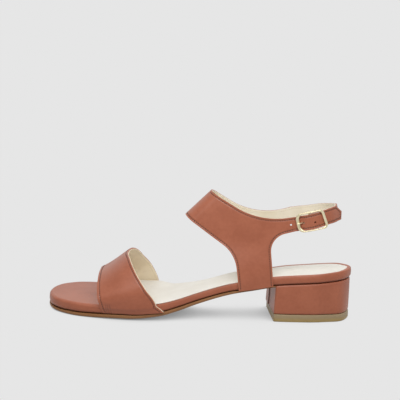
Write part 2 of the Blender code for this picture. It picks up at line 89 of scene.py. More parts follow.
# share of the length, underside as a share of the heel height, outsole and footbed thickness
PROFILE = np.array((
    (0.000, 1.145, 1.2, 7.6),
    (0.100, 1.082, 1.2, 7.0),
    (0.256, 0.975, 1.2, 6.7),
    (0.330, 0.846, 1.4, 6.6),
    (0.400, 0.725, 2.2, 6.0),
    (0.500, 0.472, 2.7, 5.8),
    (0.584, 0.223, 3.0, 6.2),
    (0.621, 0.122, 3.0, 6.7),
    (0.656, 0.063, 2.9, 6.9),
    (0.690, 0.020, 2.8, 6.9),
    (0.735, 0.000, 3.0, 6.7),
    (0.860, 0.000, 2.8, 7.6),
    (0.940, 0.010, 2.4, 8.3),
    (1.000, 0.040, 1.7, 8.7),
))
UNDERSIDE, OUTSOLE_THICK, FOOTBED_THICK = 1, 2, 3


def smooth(knots, values, at):
    """Cubic curve through the knots that never overshoots: it is level where the values turn."""
    at = np.asarray(at, float)
    step = np.diff(knots)
    rise = np.diff(values) / step
    before, after = rise[:-1], rise[1:]
    same = before * after > 0
    near = 2 * step[1:] + step[:-1]
    far = step[1:] + 2 * step[:-1]
    inner = np.zeros(len(before))
    inner[same] = (near + far)[same] / (near[same] / before[same] + far[same] / after[same])
    slope = np.concatenate(([rise[0]], inner, [rise[-1]]))
    i = np.clip(np.searchsorted(knots, at) - 1, 0, len(step) - 1)
    t = (at - knots[i]) / step[i]
    start = slope[i] * step[i] - (values[i + 1] - values[i])
    end = (values[i + 1] - values[i]) - slope[i + 1] * step[i]
    return values[i] + t * (values[i + 1] - values[i]) + t * (1 - t) * ((1 - t) * start + t * end)


def unit(vectors):
    """Vectors made one long."""
    return vectors / np.linalg.norm(vectors, axis=-1, keepdims=True)


def closed_curve(points, per_span):
    """Closed curve of cubic spans through points; each slope is that of a parabola through three
    neighbours."""
    ahead = np.roll(points, -1, axis=0) - points
    chord = np.linalg.norm(ahead, axis=1)[:, None]
    ahead_slope = ahead / chord
    behind_chord = np.roll(chord, 1, axis=0)
    slope = (ahead_slope * behind_chord + np.roll(ahead_slope, 1, axis=0) * chord) / (chord + behind_chord)
    t = np.linspace(0.0, 1.0, per_span, endpoint=False)[None, :, None]
    leave = (slope * chord)[:, None]
    arrive = (np.roll(slope, -1, axis=0) * chord)[:, None]
    curve = (1 + 2 * t) * (1 - t) ** 2 * points[:, None] + t * (1 - t) ** 2 * leave
    curve = curve + t * t * (3 - 2 * t) * np.roll(points, -1, axis=0)[:, None] - t * t * (1 - t) * arrive
    return curve.reshape(-1, points.shape[1])


def outline_sides(per_span=60):
    """Outer (-1) and inner (1) half of the outline from heel to toe, as x, y and outward normal."""
    x = HEEL_X - OUTLINE[:, 0] * LENGTH
    outer = np.stack([x, HEEL_AXIS - OUTLINE[:, 1] * BALL_WIDTH], axis=1)
    inner = np.stack([x, HEEL_AXIS + OUTLINE[:, 2] * BALL_WIDTH], axis=1)
    heel_end = [[HEEL_X, HEEL_AXIS]]
    toe_end = [[HEEL_X - LENGTH - TOE_REACH, HEEL_AXIS + TOE_END * BALL_WIDTH]]
    curve = closed_curve(np.concatenate([heel_end, outer, toe_end, inner[::-1]]), per_span)
    tangent = unit(np.roll(curve, -1, axis=0) - np.roll(curve, 1, axis=0))
    whole = np.concatenate([curve, -tangent[:, 1:], tangent[:, :1]], axis=1)
    toe = per_span * (len(OUTLINE) + 1)
    return {-1: whole[: toe + 1], 1: np.concatenate([whole[toe:], whole[:1]])[::-1]}


SIDES = outline_sides()


def run_length(path):
    """Length of an open path up to each of its points."""
    return np.concatenate(([0.0], np.cumsum(np.linalg.norm(np.diff(path, axis=0), axis=1))))


def between(length, fields, places):
    """Columns of values given at lengths, read off in straight lines at the places between."""
    return np.stack([np.interp(places, length, column) for column in fields.T], axis=-1)


def evenly(path, shares):
    """Points at shares of an open path's length."""
    length = run_length(path)
    return between(length, path, np.asarray(shares) * length[-1])


def side_line(side, inset, shares, low=-math.inf, high=math.inf):
    """One side of the outline moved in by the inset, cut to x from low to high, at shares of its length."""
    moved = SIDES[side][:, :2] - inset * SIDES[side][:, 2:]
    order = moved[np.argsort(moved[:, 0])]
    parts = [moved[(moved[:, 0] > low) & (moved[:, 0] < high)]]
    if math.isfinite(high):
        parts.insert(0, [[high, np.interp(high, order[:, 0], order[:, 1])]])
    if math.isfinite(low):
        parts.append([[low, np.interp(low, order[:, 0], order[:, 1])]])
    return evenly(np.concatenate(parts), shares)


def profile(x, column):
    """One column of the profile at x, by the smooth curve through its rows."""
    return smooth(PROFILE[:, 0], PROFILE[:, column], (HEEL_X - x) / LENGTH)


def outsole_top(x):
    """Height of the outsole's upper face: its underside and its thickness."""
    return profile(x, UNDERSIDE) * HEEL_HEIGHT + profile(x, OUTSOLE_THICK)


def share_of(x, start, end):
    """How far x has come on the way from start to end, kept between 0 and 1."""
    return np.clip((x - start) / (end - start), 0.0, 1.0)


def ease(x, start, end):
    """Smooth step from 0 at start to 1 at end: three times the square of the way less twice its cube."""
    way = share_of(x, start, end)
    return way * way * (3 - 2 * way)


def crown(x, part):
    """Rise of the ball towards its two edges, as the square of the distance from the middle."""
    grow, fade = (ease(x, *ends) for ends in CROWN_X)
    return CROWN * grow * (1 - fade) * (2 * part - 1) ** 2


def outsole_height(x, level, part, edge):
    """Height of the underside, raised by a share of the thickness and by the ball's crown."""
    return profile(x, UNDERSIDE) * HEEL_HEIGHT + level * profile(x, OUTSOLE_THICK) + crown(x, part)


def slab_surface(rows, shares, limits, height):
    """Point (share, row): the row's part of the way from outer to inner side, both moved in by the row's
    inset, at the height that the row's level, that part and the distance from the edge give."""
    columns = []
    for part, inset, level in rows:
        outer = side_line(-1, inset, shares, *limits[-1])
        inner = side_line(1, inset, shares, *limits[1])
        plan = outer + part * (inner - outer)
        edge = inset + min(part, 1 - part) * np.linalg.norm(inner - outer, axis=1)
        columns.append(np.column_stack([plan, height(plan[:, 0], level, part, edge)]))
    return np.stack(columns, axis=1)


def slab_rows(edge, across, steps=14):
    """Rows round a slab's section as part, inset, level: underneath, outer edge, top, inner edge."""
    edge = np.array(edge)
    place = np.linspace(0, 1, len(edge))
    fine = np.linspace(0, 1, steps)
    inset, level = smooth(place, edge[:, 0], fine), smooth(place, edge[:, 1], fine)
    part = np.linspace(0, 1, across)[1:-1]
    rows = [(p, inset[0], level[0]) for p in part[::-1]]
    rows += [(0.0, *pair) for pair in zip(inset, level)]
    rows += [(p, inset[-1], level[-1]) for p in part]
    rows += [(1.0, *pair) for pair in zip(inset[::-1], level[::-1])]
    return rows


def quads(count, rows, first=0, round_count=False, round_rows=False):
    """Corner numbers of the four-sided faces of a grid, closed along either way where asked."""
    i = np.arange(count if round_count else count - 1)[:, None]
    j = np.arange(rows if round_rows else rows - 1)[None, :]
    beyond, up = (i + 1) % count, (j + 1) % rows
    corners = [i * rows + j, i * rows + up, beyond * rows + up, beyond * rows + j]
    return first + np.stack(corners, axis=-1).reshape(-1, 4)


def ring_faces(count, sides, first_cap=True, last_cap=True):
    """Faces between rings of one size, with a cap on the first and on the last ring where asked."""
    faces = quads(count, sides, round_rows=True).tolist()
    for ring, capped in ((0, first_cap), (count - 1, last_cap)):
        if capped:
            faces.append(list(range(ring * sides, (ring + 1) * sides)))
    return faces


def mesh_from(name, points, faces, facing_from=None):
    """Mesh from millimetre points with doubles merged; an open sheet faces away from the given axis."""
    mesh = bpy.data.meshes.new(name)
    mesh.from_pydata((points.reshape(-1, 3) * MM).tolist(), [], [list(face) for face in faces])
    work = bmesh.new()
    work.from_mesh(mesh)
    bmesh.ops.remove_doubles(work, verts=work.verts, dist=MERGE * MM)
    bmesh.ops.dissolve_degenerate(work, edges=work.edges, dist=SLIVER * MM)
    bmesh.ops.recalc_face_normals(work, faces=work.faces)
    work.to_mesh(mesh)
    work.free()
    if facing_from is not None:
        place, normal = vertices_of(mesh)
        if np.sum((place[:, 1] - facing_from) * normal[:, 1]) < 0:
            mesh.flip_normals()
    return mesh


def vertices_of(mesh):
    """Vertex places in millimetres and vertex normals."""
    place = np.empty(3 * len(mesh.vertices))
    normal = np.empty_like(place)
    mesh.vertices.foreach_get("co", place)
    mesh.vertices.foreach_get("normal", normal)
    return place.reshape(-1, 3) / MM, normal.reshape(-1, 3)


def piece_from(mesh, material, node, sharp=40):
    """Object with the mesh, shaded smooth but for its sharp edges, standing for a node of the frame."""
    mesh.shade_smooth()
    mesh.set_sharp_from_angle(angle=math.radians(sharp))
    mesh.materials.clear()
    mesh.materials.append(material)
    piece = bpy.data.objects.new(mesh.name, mesh)
    bpy.context.collection.objects.link(piece)
    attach(piece, "root")
    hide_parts(node)


class Socket:
    """A node socket in sums: plus, minus and times on it add Math nodes to its tree."""

    def __init__(self, tree, socket=None):
        self.tree = tree
        self.socket = socket

    def node(self, kind, settings=None, inputs=None, output=0):
        """Adds a node, makes its settings, then sets or links its inputs, and gives one output."""
        made = self.tree.nodes.new(kind)
        for key, value in (settings or {}).items():
            setattr(made, key, value)
        for key, value in (inputs or {}).items():
            if isinstance(value, Socket):
                self.tree.links.new(value.socket, made.inputs[key])
            else:
                made.inputs[key].default_value = value
        return Socket(self.tree, made.outputs[output])

    def maths(self, operation, first, second):
        """A Math node on two values."""
        return self.node("ShaderNodeMath", {"operation": operation}, {0: first, 1: second})

    def __add__(self, other):
        return self.maths("ADD", self, other)

    def __sub__(self, other):
        return self.maths("SUBTRACT", self, other)

    def __rsub__(self, other):
        return self.maths("SUBTRACT", other, self)

    def __mul__(self, other):
        return self.maths("MULTIPLY", self, other)

    __radd__ = __add__
    __rmul__ = __mul__

    def ramp(self, low, high):
        """Smooth step of this value from 0 at low to 1 at high."""
        settings = {"interpolation_type": "SMOOTHSTEP"}
        return self.node("ShaderNodeMapRange", settings, {"Value": self, "From Min": low, "From Max": high})

    def colours(self, first, second):
        """First colour where this value is 0, second where it is 1."""
        settings = {"data_type": "RGBA"}
        ends = [end if isinstance(end, Socket) else (*end, 1.0) for end in (first, second)]
        return self.node("ShaderNodeMix", settings, {0: self, 6: ends[0], 7: ends[1]}, 2)

    def noise(self, scale, detail=2.0):
        """Noise at object coordinates; the scale is in cells per metre."""
        place = self.node("ShaderNodeTexCoord", output=3)
        return self.node("ShaderNodeTexNoise", None, {"Vector": place, "Scale": scale, "Detail": detail})

    def height(self):
        """Height over the floor, in metres."""
        place = self.node("ShaderNodeTexCoord", output=3)
        return self.node("ShaderNodeSeparateXYZ", None, {0: place}, 2)

    def painted(self, name):
        """A value that the mesh carries at each vertex."""
        settings = {"attribute_name": name}
        return self.node("ShaderNodeAttribute", settings, None, 2)

    def bump(self, distance, strength=1.0):
        """Normal of a surface raised by this value times the distance, in metres."""
        inputs = {"Strength": strength, "Distance": distance, "Height": self}
        return self.node("ShaderNodeBump", None, inputs)


def new_material(name, constants):
    """Material of one Principled shader with constants on its sockets; gives the material, its tree and
    the shader."""
    material = bpy.data.materials.new(name)
    material.use_nodes = True
    shader = material.node_tree.nodes["Principled BSDF"]
    for key, value in constants.items():
        shader.inputs[key].default_value = value
    return material, Socket(material.node_tree), shader


def drive(shader, inputs):
    """Links sockets to the shader's inputs."""
    for key, value in inputs.items():
        value.tree.links.new(value.socket, shader.inputs[key])


sole_rubber, tree, shader = new_material("tan sole rubber", {"IOR": 1.48})
cloud = tree.noise(90, 3)
streak = tree.noise(700, 2)
drive(shader, {
    "Base Color": (0.6 * cloud + 0.4 * streak).colours((0.245, 0.102, 0.035), (0.365, 0.172, 0.066)),
    "Roughness": 0.42 + 0.2 * streak,
    "Normal": streak.bump(0.00006),
})
breast_limits = {side: (-math.inf, x + BREAST_LEAN) for side, x in BREAST_X.items()}
shares = np.linspace(0, 1, OUTSOLE_STATIONS)
grid = slab_surface(slab_rows(OUTSOLE_EDGE, OUTSOLE_ACROSS), shares, breast_limits, outsole_height)
mesh = mesh_from("outsole_slab", grid, ring_faces(*grid.shape[:2], last_cap=False))
piece_from(mesh, sole_rubber, "outsole")

# Heel. A moulded block wrapped in the upper's brown leather: the cover is drawn round from the front, where
# one end laps over the other in an upright seam, and is turned under at top and bottom. Nails through the
# seat hold it.
HEEL_EDGE = (
    (2.6, 0.0), (1.2, 0.012), (0.8, 0.05), (0.7, 0.3), (0.7, 0.7), (0.8, 0.94), (1.2, 0.988), (2.2, 1.0),
)
TOP_PIECE_THICK = 6.0
CORNER_SAMPLES = 3
FRONT_DEPTH = 3.0
LAP_AT = 0.64
LAP_THICK = 0.8
LAP_DARK = 2.8
LAP_WIDTH = 0.7
BACK_CORNER = (1.7, 50.0, 25.0)
FRONT_FLARE = {-1: 1.8, 1: 3.6}
FLARE_BACK = 12.0
FLARE_SIDE = 12.0


def bell(x, middle, width):
    """Bell curve: the exponential of minus the square of the distance from the middle, in widths."""
    return np.exp(-(((x - middle) / width) ** 2))


def heel_ring(inset, fronts, count=420, side_count=300):
    """Closed line round the heel at one level: outer side from the front to the back, inner side to the
    front, and straight across the front; spaced evenly, and averaged with its neighbours to round the
    corners."""
    shares = np.linspace(0, 1, side_count)
    outer = side_line(-1, inset, shares, low=fronts[-1])
    inner = side_line(1, inset, shares, low=fronts[1])
    loop = np.concatenate([outer[::-1], inner[1:], outer[-1:]])
    loop = evenly(loop, np.linspace(0, 1, count + 1))[:-1]
    reach = range(-CORNER_SAMPLES, CORNER_SAMPLES + 1)
    return sum(np.roll(loop, k, axis=0) for k in reach) / len(reach)


def edge_half_width(side, x):
    """Distance of the footbed's edge from the heel's axis; side is -1 or 1 at each x."""
    halves = {}
    for which in (-1, 1):
        rows = SIDES[which][np.argsort(SIDES[which][:, 0])]
        halves[which] = np.abs(np.interp(x, rows[:, 0], rows[:, 1]) - HEEL_AXIS)
    return np.where(np.asarray(side) < 0, halves[-1], halves[1])


def squarer(ring, share):
    """The ring pushed out by a bell curve round the bearing of its two back corners, by a share of the
    whole."""
    push, bearing, width = BACK_CORNER
    middle = np.array([HEEL_X - edge_half_width(-1, HEEL_X - BALL_WIDTH / 2), HEEL_AXIS])
    away = ring - middle
    angle = np.degrees(np.abs(np.arctan2(away[:, 1], away[:, 0])))
    return ring + unit(away) * (share * push * bell(angle, bearing, width))[:, None]


def flared(ring, share):
    """The ring drawn out sideways towards its front, by a share of the whole, more on the inner side."""
    forward = ease(ring[:, 0], HEEL_X - FLARE_BACK, min(BREAST_X.values()))
    side = np.clip((ring[:, 1] - HEEL_AXIS) / FLARE_SIDE, -1, 1)
    push = np.where(side < 0, FRONT_FLARE[-1], FRONT_FLARE[1])
    return ring + np.stack([0 * side, share * forward * push * side], axis=1)


def heel_surface(edge, fronts_at, height, shaped_at, steps):
    """Point (row, place round): the heel's ring at the row's inset, squared and flared by a share, at the
    height of the row's level."""
    edge = np.array(edge)
    level = smooth(np.linspace(0, 1, len(edge)), edge[:, 1], np.linspace(0, 1, steps))
    rings = []
    for at in level:
        ring = heel_ring(np.interp(at, edge[:, 1], edge[:, 0]), fronts_at(at))
        ring = flared(squarer(ring, shaped_at(at)), shaped_at(at))
        rings.append(np.column_stack([ring, height(ring[:, 0], at)]))
    return np.stack(rings)


def at_front(x):
    """Whether a place is on the heel's front face."""
    return x < max(BREAST_X.values()) + FRONT_DEPTH


def leather_material(name, deep, light):
    """Smooth grained leather: colour and gloss drift in soft clouds, and it darkens along seams, joints and
    cut edges, partly as burnish and edge paint, partly as painted shade in grooves and gaps.
    """
    material, tree, shader = new_material(name, {"IOR": 1.5, "Coat Roughness": 0.3})
    cloud = tree.noise(55, 3)
    mottle = tree.noise(420, 3)
    grain = tree.noise(2600, 3)
    seam_and_shade = tree.painted("seam_and_shade")
    base = (0.65 * cloud + 0.35 * mottle).ramp(0.32, 0.68).colours(deep, light)
    drive(shader, {
        # Darker along seams, joints and cut edges: partly burnish and edge paint, partly painted shade in
        # the grooves and gaps.
        "Base Color": (0.33 * seam_and_shade).colours(base, tuple(0.3 * value for value in deep)),
        "Roughness": 0.36 + 0.12 * mottle + 0.1 * grain,
        "Coat Weight": 0.12 + 0.1 * cloud,
        "Normal": (0.7 * grain + 0.3 * mottle).bump(0.00012, 0.6),
    })
    return material


def paint_seam_and_shade(mesh, nearness):
    """Gives each vertex its nearness to a seam, joint or cut edge; the leather darkens by it, partly as
    burnish and edge paint, partly as painted shade.
    """
    paint = mesh.attributes.new("seam_and_shade", "FLOAT", "POINT")
    paint.data.foreach_set("value", nearness)


brown_leather = leather_material("brown leather", (0.36, 0.101, 0.046), (0.42, 0.126, 0.061))
heel_low = TOP_PIECE_THICK + GAP
grid = heel_surface(
    HEEL_EDGE,
    lambda at: {side: x + BREAST_LEAN * (1 - at) + GAP for side, x in BREAST_X.items()},
    lambda x, at: outsole_top(x) + at * (heel_low - outsole_top(x)),
    lambda at: at,
    steps=30,
)
front_y = grid[..., 1][at_front(grid[..., 0])]
lap_y = front_y.min() + LAP_AT * (front_y.max() - front_y.min())
grid[..., 0] -= LAP_THICK * ((grid[..., 1] > lap_y) & at_front(grid[..., 0]))
mesh = mesh_from("heel_block", grid, ring_faces(*grid.shape[:2]))
place, _ = vertices_of(mesh)
# The lap seam is darkened: partly the raw edge's own dark, partly painted shade in the step.
paint_seam_and_shade(mesh, LAP_DARK * bell(place[:, 1], lap_y, LAP_WIDTH) * at_front(place[:, 0]))
piece_from(mesh, brown_leather, "heel")

# Heel top piece. The wear layer: one slab of amber rubber, trimmed flush with the heel and nailed and
# cemented under it. Its sides are sanded dull, and it looks yellower close to the floor.
TOP_PIECE_EDGE = ((1.6, 0.0), (0.75, 0.03), (0.55, 0.12), (0.6, 0.8), (0.8, 0.96), (1.4, 1.0))
amber_rubber, tree, shader = new_material("amber rubber", {"IOR": 1.5})
fleck = tree.noise(1500, 2)
mottle = 0.7 * tree.noise(120, 3) + 0.3 * fleck
drive(shader, {
    "Base Color": tree.height().ramp(0.0005, 0.0045).colours(
        mottle.colours((0.33, 0.215, 0.07), (0.47, 0.33, 0.13)),
        mottle.colours((0.29, 0.205, 0.105), (0.42, 0.32, 0.19)),
    ),
    "Roughness": 0.38 + 0.2 * fleck,
    "Normal": fleck.bump(0.00008),
})
grid = heel_surface(
    TOP_PIECE_EDGE,
    lambda at: {side: x + GAP for side, x in BREAST_X.items()},
    lambda x, at: TOP_PIECE_THICK * at + 0 * x,
    lambda at: 1.0,
    steps=18,
)
mesh = mesh_from("heel_wear_layer", grid, ring_faces(*grid.shape[:2]))
piece_from(mesh, amber_rubber, "heel_top_piece")

# Footbed. A stiff insole board with a thin cushion, wrapped in the brown leather: bare leather shows at the
# toe and as a rand round the side. The wrap is drawn under and pleats a little round the toe.
FOOTBED_EDGE = (
    (2.8, 0.0), (1.5, 0.06), (0.5, 0.16), (0.05, 0.40), (0.08, 0.66), (0.3, 0.87), (0.6, 1.0), (1.0, 1.4),
    (2.0, 1.5), (2.9, 1.35), (4.0, 1.0),
)
FOOTBED_STATIONS = 340
FOOTBED_ACROSS = 30
FOOTBED_EDGE_STEPS = 31
WHOLE = {side: (-math.inf, math.inf) for side in (-1, 1)}
LIP_X = (24.0, 62.0)
TOE_PAD_X = (-52.0, -78.0)
TOE_ROUND = 2.8
BED_DEPTH = 0.9
SEAT_TILT = 1.1
SEAT_TILT_X = (30.0, 60.0)
TOE_PLEAT = 0.16
TOE_PLEAT_X = (-95.0, -120.0)
TOE_PLEAT_LEVEL = (0.62, 0.32)
TOE_PLEAT_MIDDLE = (-75.0, 6.0)
TOE_PLEAT_PACE = 26
TOE_PLEAT_WAVER = (2, 5)
CREASE = 0.14
CREASE_X = (-20.0, 10.0)
CREASE_LEVEL = (0.4, 0.05)
JOINT_DARK = 2.8
JOINT_WIDTH = 0.15

# distances forwards from the heel's back end
INNER_LIP_BACK = (24.0, 6.0)
SEAT_TILT_BACK = (6.0, 40.0)


def footbed_top(x):
    """Height of the footbed's upper face: the outsole, the cement's gap and the footbed's thickness."""
    return outsole_top(x) + GAP + profile(x, FOOTBED_THICK)


def close_at_ends(count, crowding=0.55):
    """Shares along a side, crowded by a sine towards the two ends where the outline turns."""
    even = np.linspace(0, 1, count)
    return even - crowding * np.sin(2 * np.pi * even) / (2 * np.pi)


def lip(x):
    """How far the wrap stands up as a lip round the sock: not at all in front, fully round the heel."""
    return ease(x, *LIP_X)


def inner_lip(x):
    """Share of the lip's height on the inner side: whole at the back, dying away towards the front."""
    return ease(HEEL_X - x, *INNER_LIP_BACK)


def toe_pad(x):
    """How far the bare toe is cushioned: fully in front of the vamp, not at all behind it."""
    return ease(x, *TOE_PAD_X)


def seat_tilt(x, part):
    """Fall of the heel seat towards its inner side, dying away at the back and in front of the heel."""
    return SEAT_TILT * part**2 * ease(x, *SEAT_TILT_X) * ease(HEEL_X - x, *SEAT_TILT_BACK)


def footbed_height(x, level, part, edge):
    """Levels to 1 are shares of the thickness, what is over 1 is the lip, and parts between 0 and 1 are
    the bed, sunk inside the lip. At the toe the edge follows a quarter circle down."""
    thick = profile(x, FOOTBED_THICK)
    rise = max(level - 1.0, 0.0) * lip(x) * (inner_lip(x) if part == 1.0 else 1.0)
    if 0.0 < part < 1.0:
        rise = rise - BED_DEPTH * lip(x)
    short = np.maximum(TOE_ROUND - edge, 0.0)
    drop = TOE_ROUND - np.sqrt(TOE_ROUND**2 - short**2)
    body = min(level, 1.0)
    height = np.minimum(body * thick, thick - toe_pad(x) * drop)
    return outsole_top(x) + GAP + height + crown(x, part) + rise - body * seat_tilt(x, part)


def toe_pleats(place, level):
    """Ripples low round the toe: a sine of the bearing from the toe's middle, whose pace wavers."""
    middle_x, middle_y = TOE_PLEAT_MIDDLE
    bearing = np.arctan2(place[:, 1] - middle_y, middle_x - place[:, 0])
    waver, waver_pace = TOE_PLEAT_WAVER
    ripple = np.sin(TOE_PLEAT_PACE * bearing + waver * np.sin(waver_pace * bearing))
    return TOE_PLEAT * ripple * share_of(place[:, 0], *TOE_PLEAT_X) * share_of(level, *TOE_PLEAT_LEVEL)


def put_vertices(mesh, place):
    """Moves the mesh's vertices to places in millimetres."""
    mesh.vertices.foreach_set("co", (place * MM).ravel())


grid = slab_surface(
    slab_rows(FOOTBED_EDGE, FOOTBED_ACROSS, FOOTBED_EDGE_STEPS),
    close_at_ends(FOOTBED_STATIONS), WHOLE, footbed_height,
)
mesh = mesh_from("footbed_wrap", grid, ring_faces(*grid.shape[:2], first_cap=False, last_cap=False))
place, normal = vertices_of(mesh)
base = outsole_top(place[:, 0]) + GAP + crown(place[:, 0], 0.0)
level = (place[:, 2] - base) / profile(place[:, 0], FOOTBED_THICK)
crease = CREASE * bell(level, *CREASE_LEVEL) * share_of(place[:, 0], *CREASE_X)
put_vertices(mesh, place + normal * (toe_pleats(place, level) - crease)[:, None])
# The footbed's lowest edge is darkened where it meets the outsole: a dark waxed joint and painted shade in
# the gap.
paint_seam_and_shade(mesh, JOINT_DARK * bell(level, 0.0, JOINT_WIDTH))
piece_from(mesh, brown_leather, "footbed")

# Sock lining. A thin cream leather insole cemented on the footbed, cut a little smaller than it so that the
# brown wrap shows as a fine rim. It starts under the vamp strap.
SOCK_EDGE = ((2.5, 0.0), (1.8, 0.1), (1.7, 0.5), (1.8, 0.82), (2.1, 0.97), (2.6, 1.0))
SOCK_STATIONS = 220
SOCK_CROWDING = 1.3
SOCK_ACROSS = 34
SOCK_EDGE_STEPS = 10
SOCK_FRONT = 0.775
SOCK_THICK = 0.8
SOCK_SWELL = 0.25
SOCK_CLEAR = 0.1
SOCK_CUP = 2.6
SOCK_CUP_X = (-20.0, -36.0)
SOCK_CUP_PART = (6 / 11, 1.0)
SOCK_INNER_RIM = 1.4
SOCK_RIM_AT = ((0.0, 0.12), (0.3, 0.5))
SOCK_BACK_RIM = 0.8
SOCK_RIM_BACK = (24.0, 4.0)


def pale_leather(name, deep, light):
    """Matt undyed leather: colour drifts in soft clouds, and a fine grain roughens it."""
    material, tree, shader = new_material(name, {"IOR": 1.45})
    cloud = tree.noise(50, 3)
    grain = tree.noise(2300, 3)
    drive(shader, {
        "Base Color": (0.8 * cloud + 0.2 * grain).ramp(0.3, 0.7).colours(deep, light),
        "Roughness": 0.5 + 0.15 * grain,
        "Normal": grain.bump(0.0001, 0.5),
    })
    return material


def sock_height(x, level, part, edge):
    """The bed under the sock, and the sock's thickness, which swells as a half sine towards the middle;
    under the vamp the inner side is pressed up by the lining."""
    bed = footbed_top(x) + crown(x, part) + SOCK_CLEAR - BED_DEPTH * lip(x) - seat_tilt(x, part)
    cup = SOCK_CUP * ease(x, *SOCK_CUP_X) * share_of(part, *SOCK_CUP_PART) ** 2
    return bed + level * (SOCK_THICK + SOCK_SWELL * np.sin(np.pi * part) + cup)


cream_leather = pale_leather("cream leather", (0.775, 0.745, 0.675), (0.836, 0.813, 0.752))
sock_limits = {side: (HEEL_X - SOCK_FRONT * LENGTH, math.inf) for side in (-1, 1)}
shares = np.linspace(0, 1, SOCK_STATIONS) ** SOCK_CROWDING
rows = slab_rows(SOCK_EDGE, SOCK_ACROSS, SOCK_EDGE_STEPS)
grid = slab_surface(rows, shares, sock_limits, sock_height)
grow, fade = (ease(shares, *ends) for ends in SOCK_RIM_AT)
inward = np.array([part for part, _, _ in rows])
grid[..., 1] -= SOCK_INNER_RIM * (grow * (1 - fade))[:, None] * inward
grid[..., 0] -= SOCK_BACK_RIM * ease(HEEL_X - grid[..., 0], *SOCK_RIM_BACK)
mesh = mesh_from("sock_insole", grid, ring_faces(*grid.shape[:2], first_cap=False))
piece_from(mesh, cream_leather, "sock_lining")

# Vamp strap. A broad band of brown leather over the forefoot with a pale lining: the leather's edges are
# folded in and sewn down close to the fold, and its two ends are lasted under beside the footbed.
WALL = 1.8
LEATHER = 1.2
LEATHER_RIM = 0.5
LINING_GAP = 0.02
LINING_RIM = 0.15
RIM_SEGMENTS = 3
RIM_ANGLE = math.radians(55)
SEAM_OUT = WALL / 2 - 0.2
SEAM_PRESS = 0.3
SEAM_PRESS_WIDTH = 0.55
SEAM_DARK_WIDTH = 0.5
SEAM_SAMPLES = 900
STITCH_PITCH = 1.9
STITCH_LONG = 1.3
STITCH_ARCH = 0.3
STITCH_SUNK = 0.2
STITCH_TAPER = 0.75
FINE_THREAD_R = 0.22
THREAD_RINGS = 7
THREAD_SIDES = 6
VAMP_GRID = (220, 130)
VAMP_LINING_GRID = (150, 24)
VAMP_LINING_REAR = 1.012
VAMP_SEAM_INSETS = (2.1, 1.5)
VAMP_SEAM_END = 0.985
VAMP_LIFT = 1.15
VAMP_ARCH_END = 0.84
VAMP_SPRING_DROP = 1.0
VAMP_CREST_Y = 2.0
VAMP_FULLNESS = 2.4
VAMP_BULGE = 2.0
VAMP_BULGE_AT = (0.72, 0.12)
VAMP_TUCK = 2.2
VAMP_PLEATS = (0.08, 0.115, 0.155)
VAMP_PLEAT_V = np.linspace(-0.99, -0.81, 120)
VAMP_PLEAT_MIDDLE = -0.93
VAMP_PLEAT_LEAN = 0.2

# place round the foot from outer (-1) to inner (1) edge, front and rear edge as shares of the length
VAMP = np.array((
    (-1.00, 0.807, 0.614),
    (-0.84, 0.815, 0.638),
    (-0.70, 0.824, 0.674),
    (-0.50, 0.829, 0.708),
    (-0.25, 0.831, 0.730),
    (0.00, 0.833, 0.742),
    (0.50, 0.836, 0.704),
    (0.70, 0.830, 0.668),
    (0.84, 0.822, 0.643),
    (1.00, 0.815, 0.632),
))

# distance of the last's ridge ahead of the heel, height
RIDGE = np.array(((222.0, 26.0), (206.5, 32.6), (182.8, 50.1), (137.9, 81.2), (117.4, 101.7)))


def vamp_surface(u, v):
    """Point at share u from the front to the rear edge and place v round the foot: an upright wall beside
    the footbed, tucked in at the sole, then a full arch up to the ridge whose power makes it rounder than
    an ellipse; a bell curve swells it over the footbed's edge."""
    front, rear = (smooth(VAMP[:, 0], VAMP[:, k], v) for k in (1, 2))
    x = HEEL_X - LENGTH * (front + u * (rear - front))
    back = np.clip(u, 0.0, 1.0)
    side = np.where(v < 0, -1, 1)
    away = np.abs(v)
    edge_y = side * (edge_half_width(side, x) + GAP + WALL / 2)
    base = outsole_top(x) + GAP + crown(x, 0.0) + VAMP_LIFT * (1 - back**4)
    spring = footbed_top(x) + crown(x, 0.0) - VAMP_SPRING_DROP
    ridge = smooth(-RIDGE[:, 0], RIDGE[:, 1], x - HEEL_X) - WALL / 2
    up = share_of(away, VAMP_ARCH_END, 0.0) * math.pi / 2
    y = VAMP_CREST_Y + (edge_y - VAMP_CREST_Y) * np.cos(up) ** (2 / VAMP_FULLNESS)
    z = spring + (ridge - spring) * np.sin(up) ** (2 / VAMP_FULLNESS)
    down = share_of(away, VAMP_ARCH_END, 1.0)
    swell = VAMP_BULGE * bell(away, *VAMP_BULGE_AT)
    tuck = VAMP_TUCK * share_of(away, VAMP_BULGE_AT[0], 1.0) ** 2 * (1 - back**3)
    return np.stack([x, HEEL_AXIS + y + side * (swell - tuck), z - down * (spring - base)], axis=-1)


def raised(surface, a, b, out, step=0.002):
    """Points of a surface moved out along its normal, away from the shoe's axis, and the normals."""
    point = surface(a, b)
    along_a = surface(a + step, b) - surface(a - step, b)
    along_b = surface(a, b + step) - surface(a, b - step)
    normal = unit(np.cross(along_a, along_b))
    from_axis = point - np.array([0.0, HEEL_AXIS, 0.0])
    from_axis[..., 0] = 0.0
    normal *= np.sign(np.sum(normal * from_axis, axis=-1, keepdims=True))
    return point + out * normal, normal


def distance_to(points, curve, block_size=2000):
    """Distance of each point from the nearest sample of a curve, worked out a block of points at a time."""
    blocks = []
    for block in np.array_split(points, max(len(points) // block_size, 1)):
        apart = np.sum(block**2, axis=1)[:, None] + np.sum(curve**2, axis=1) - 2 * block @ curve.T
        blocks.append(np.sqrt(np.maximum(apart.min(axis=1), 0.0)))
    return np.concatenate(blocks)


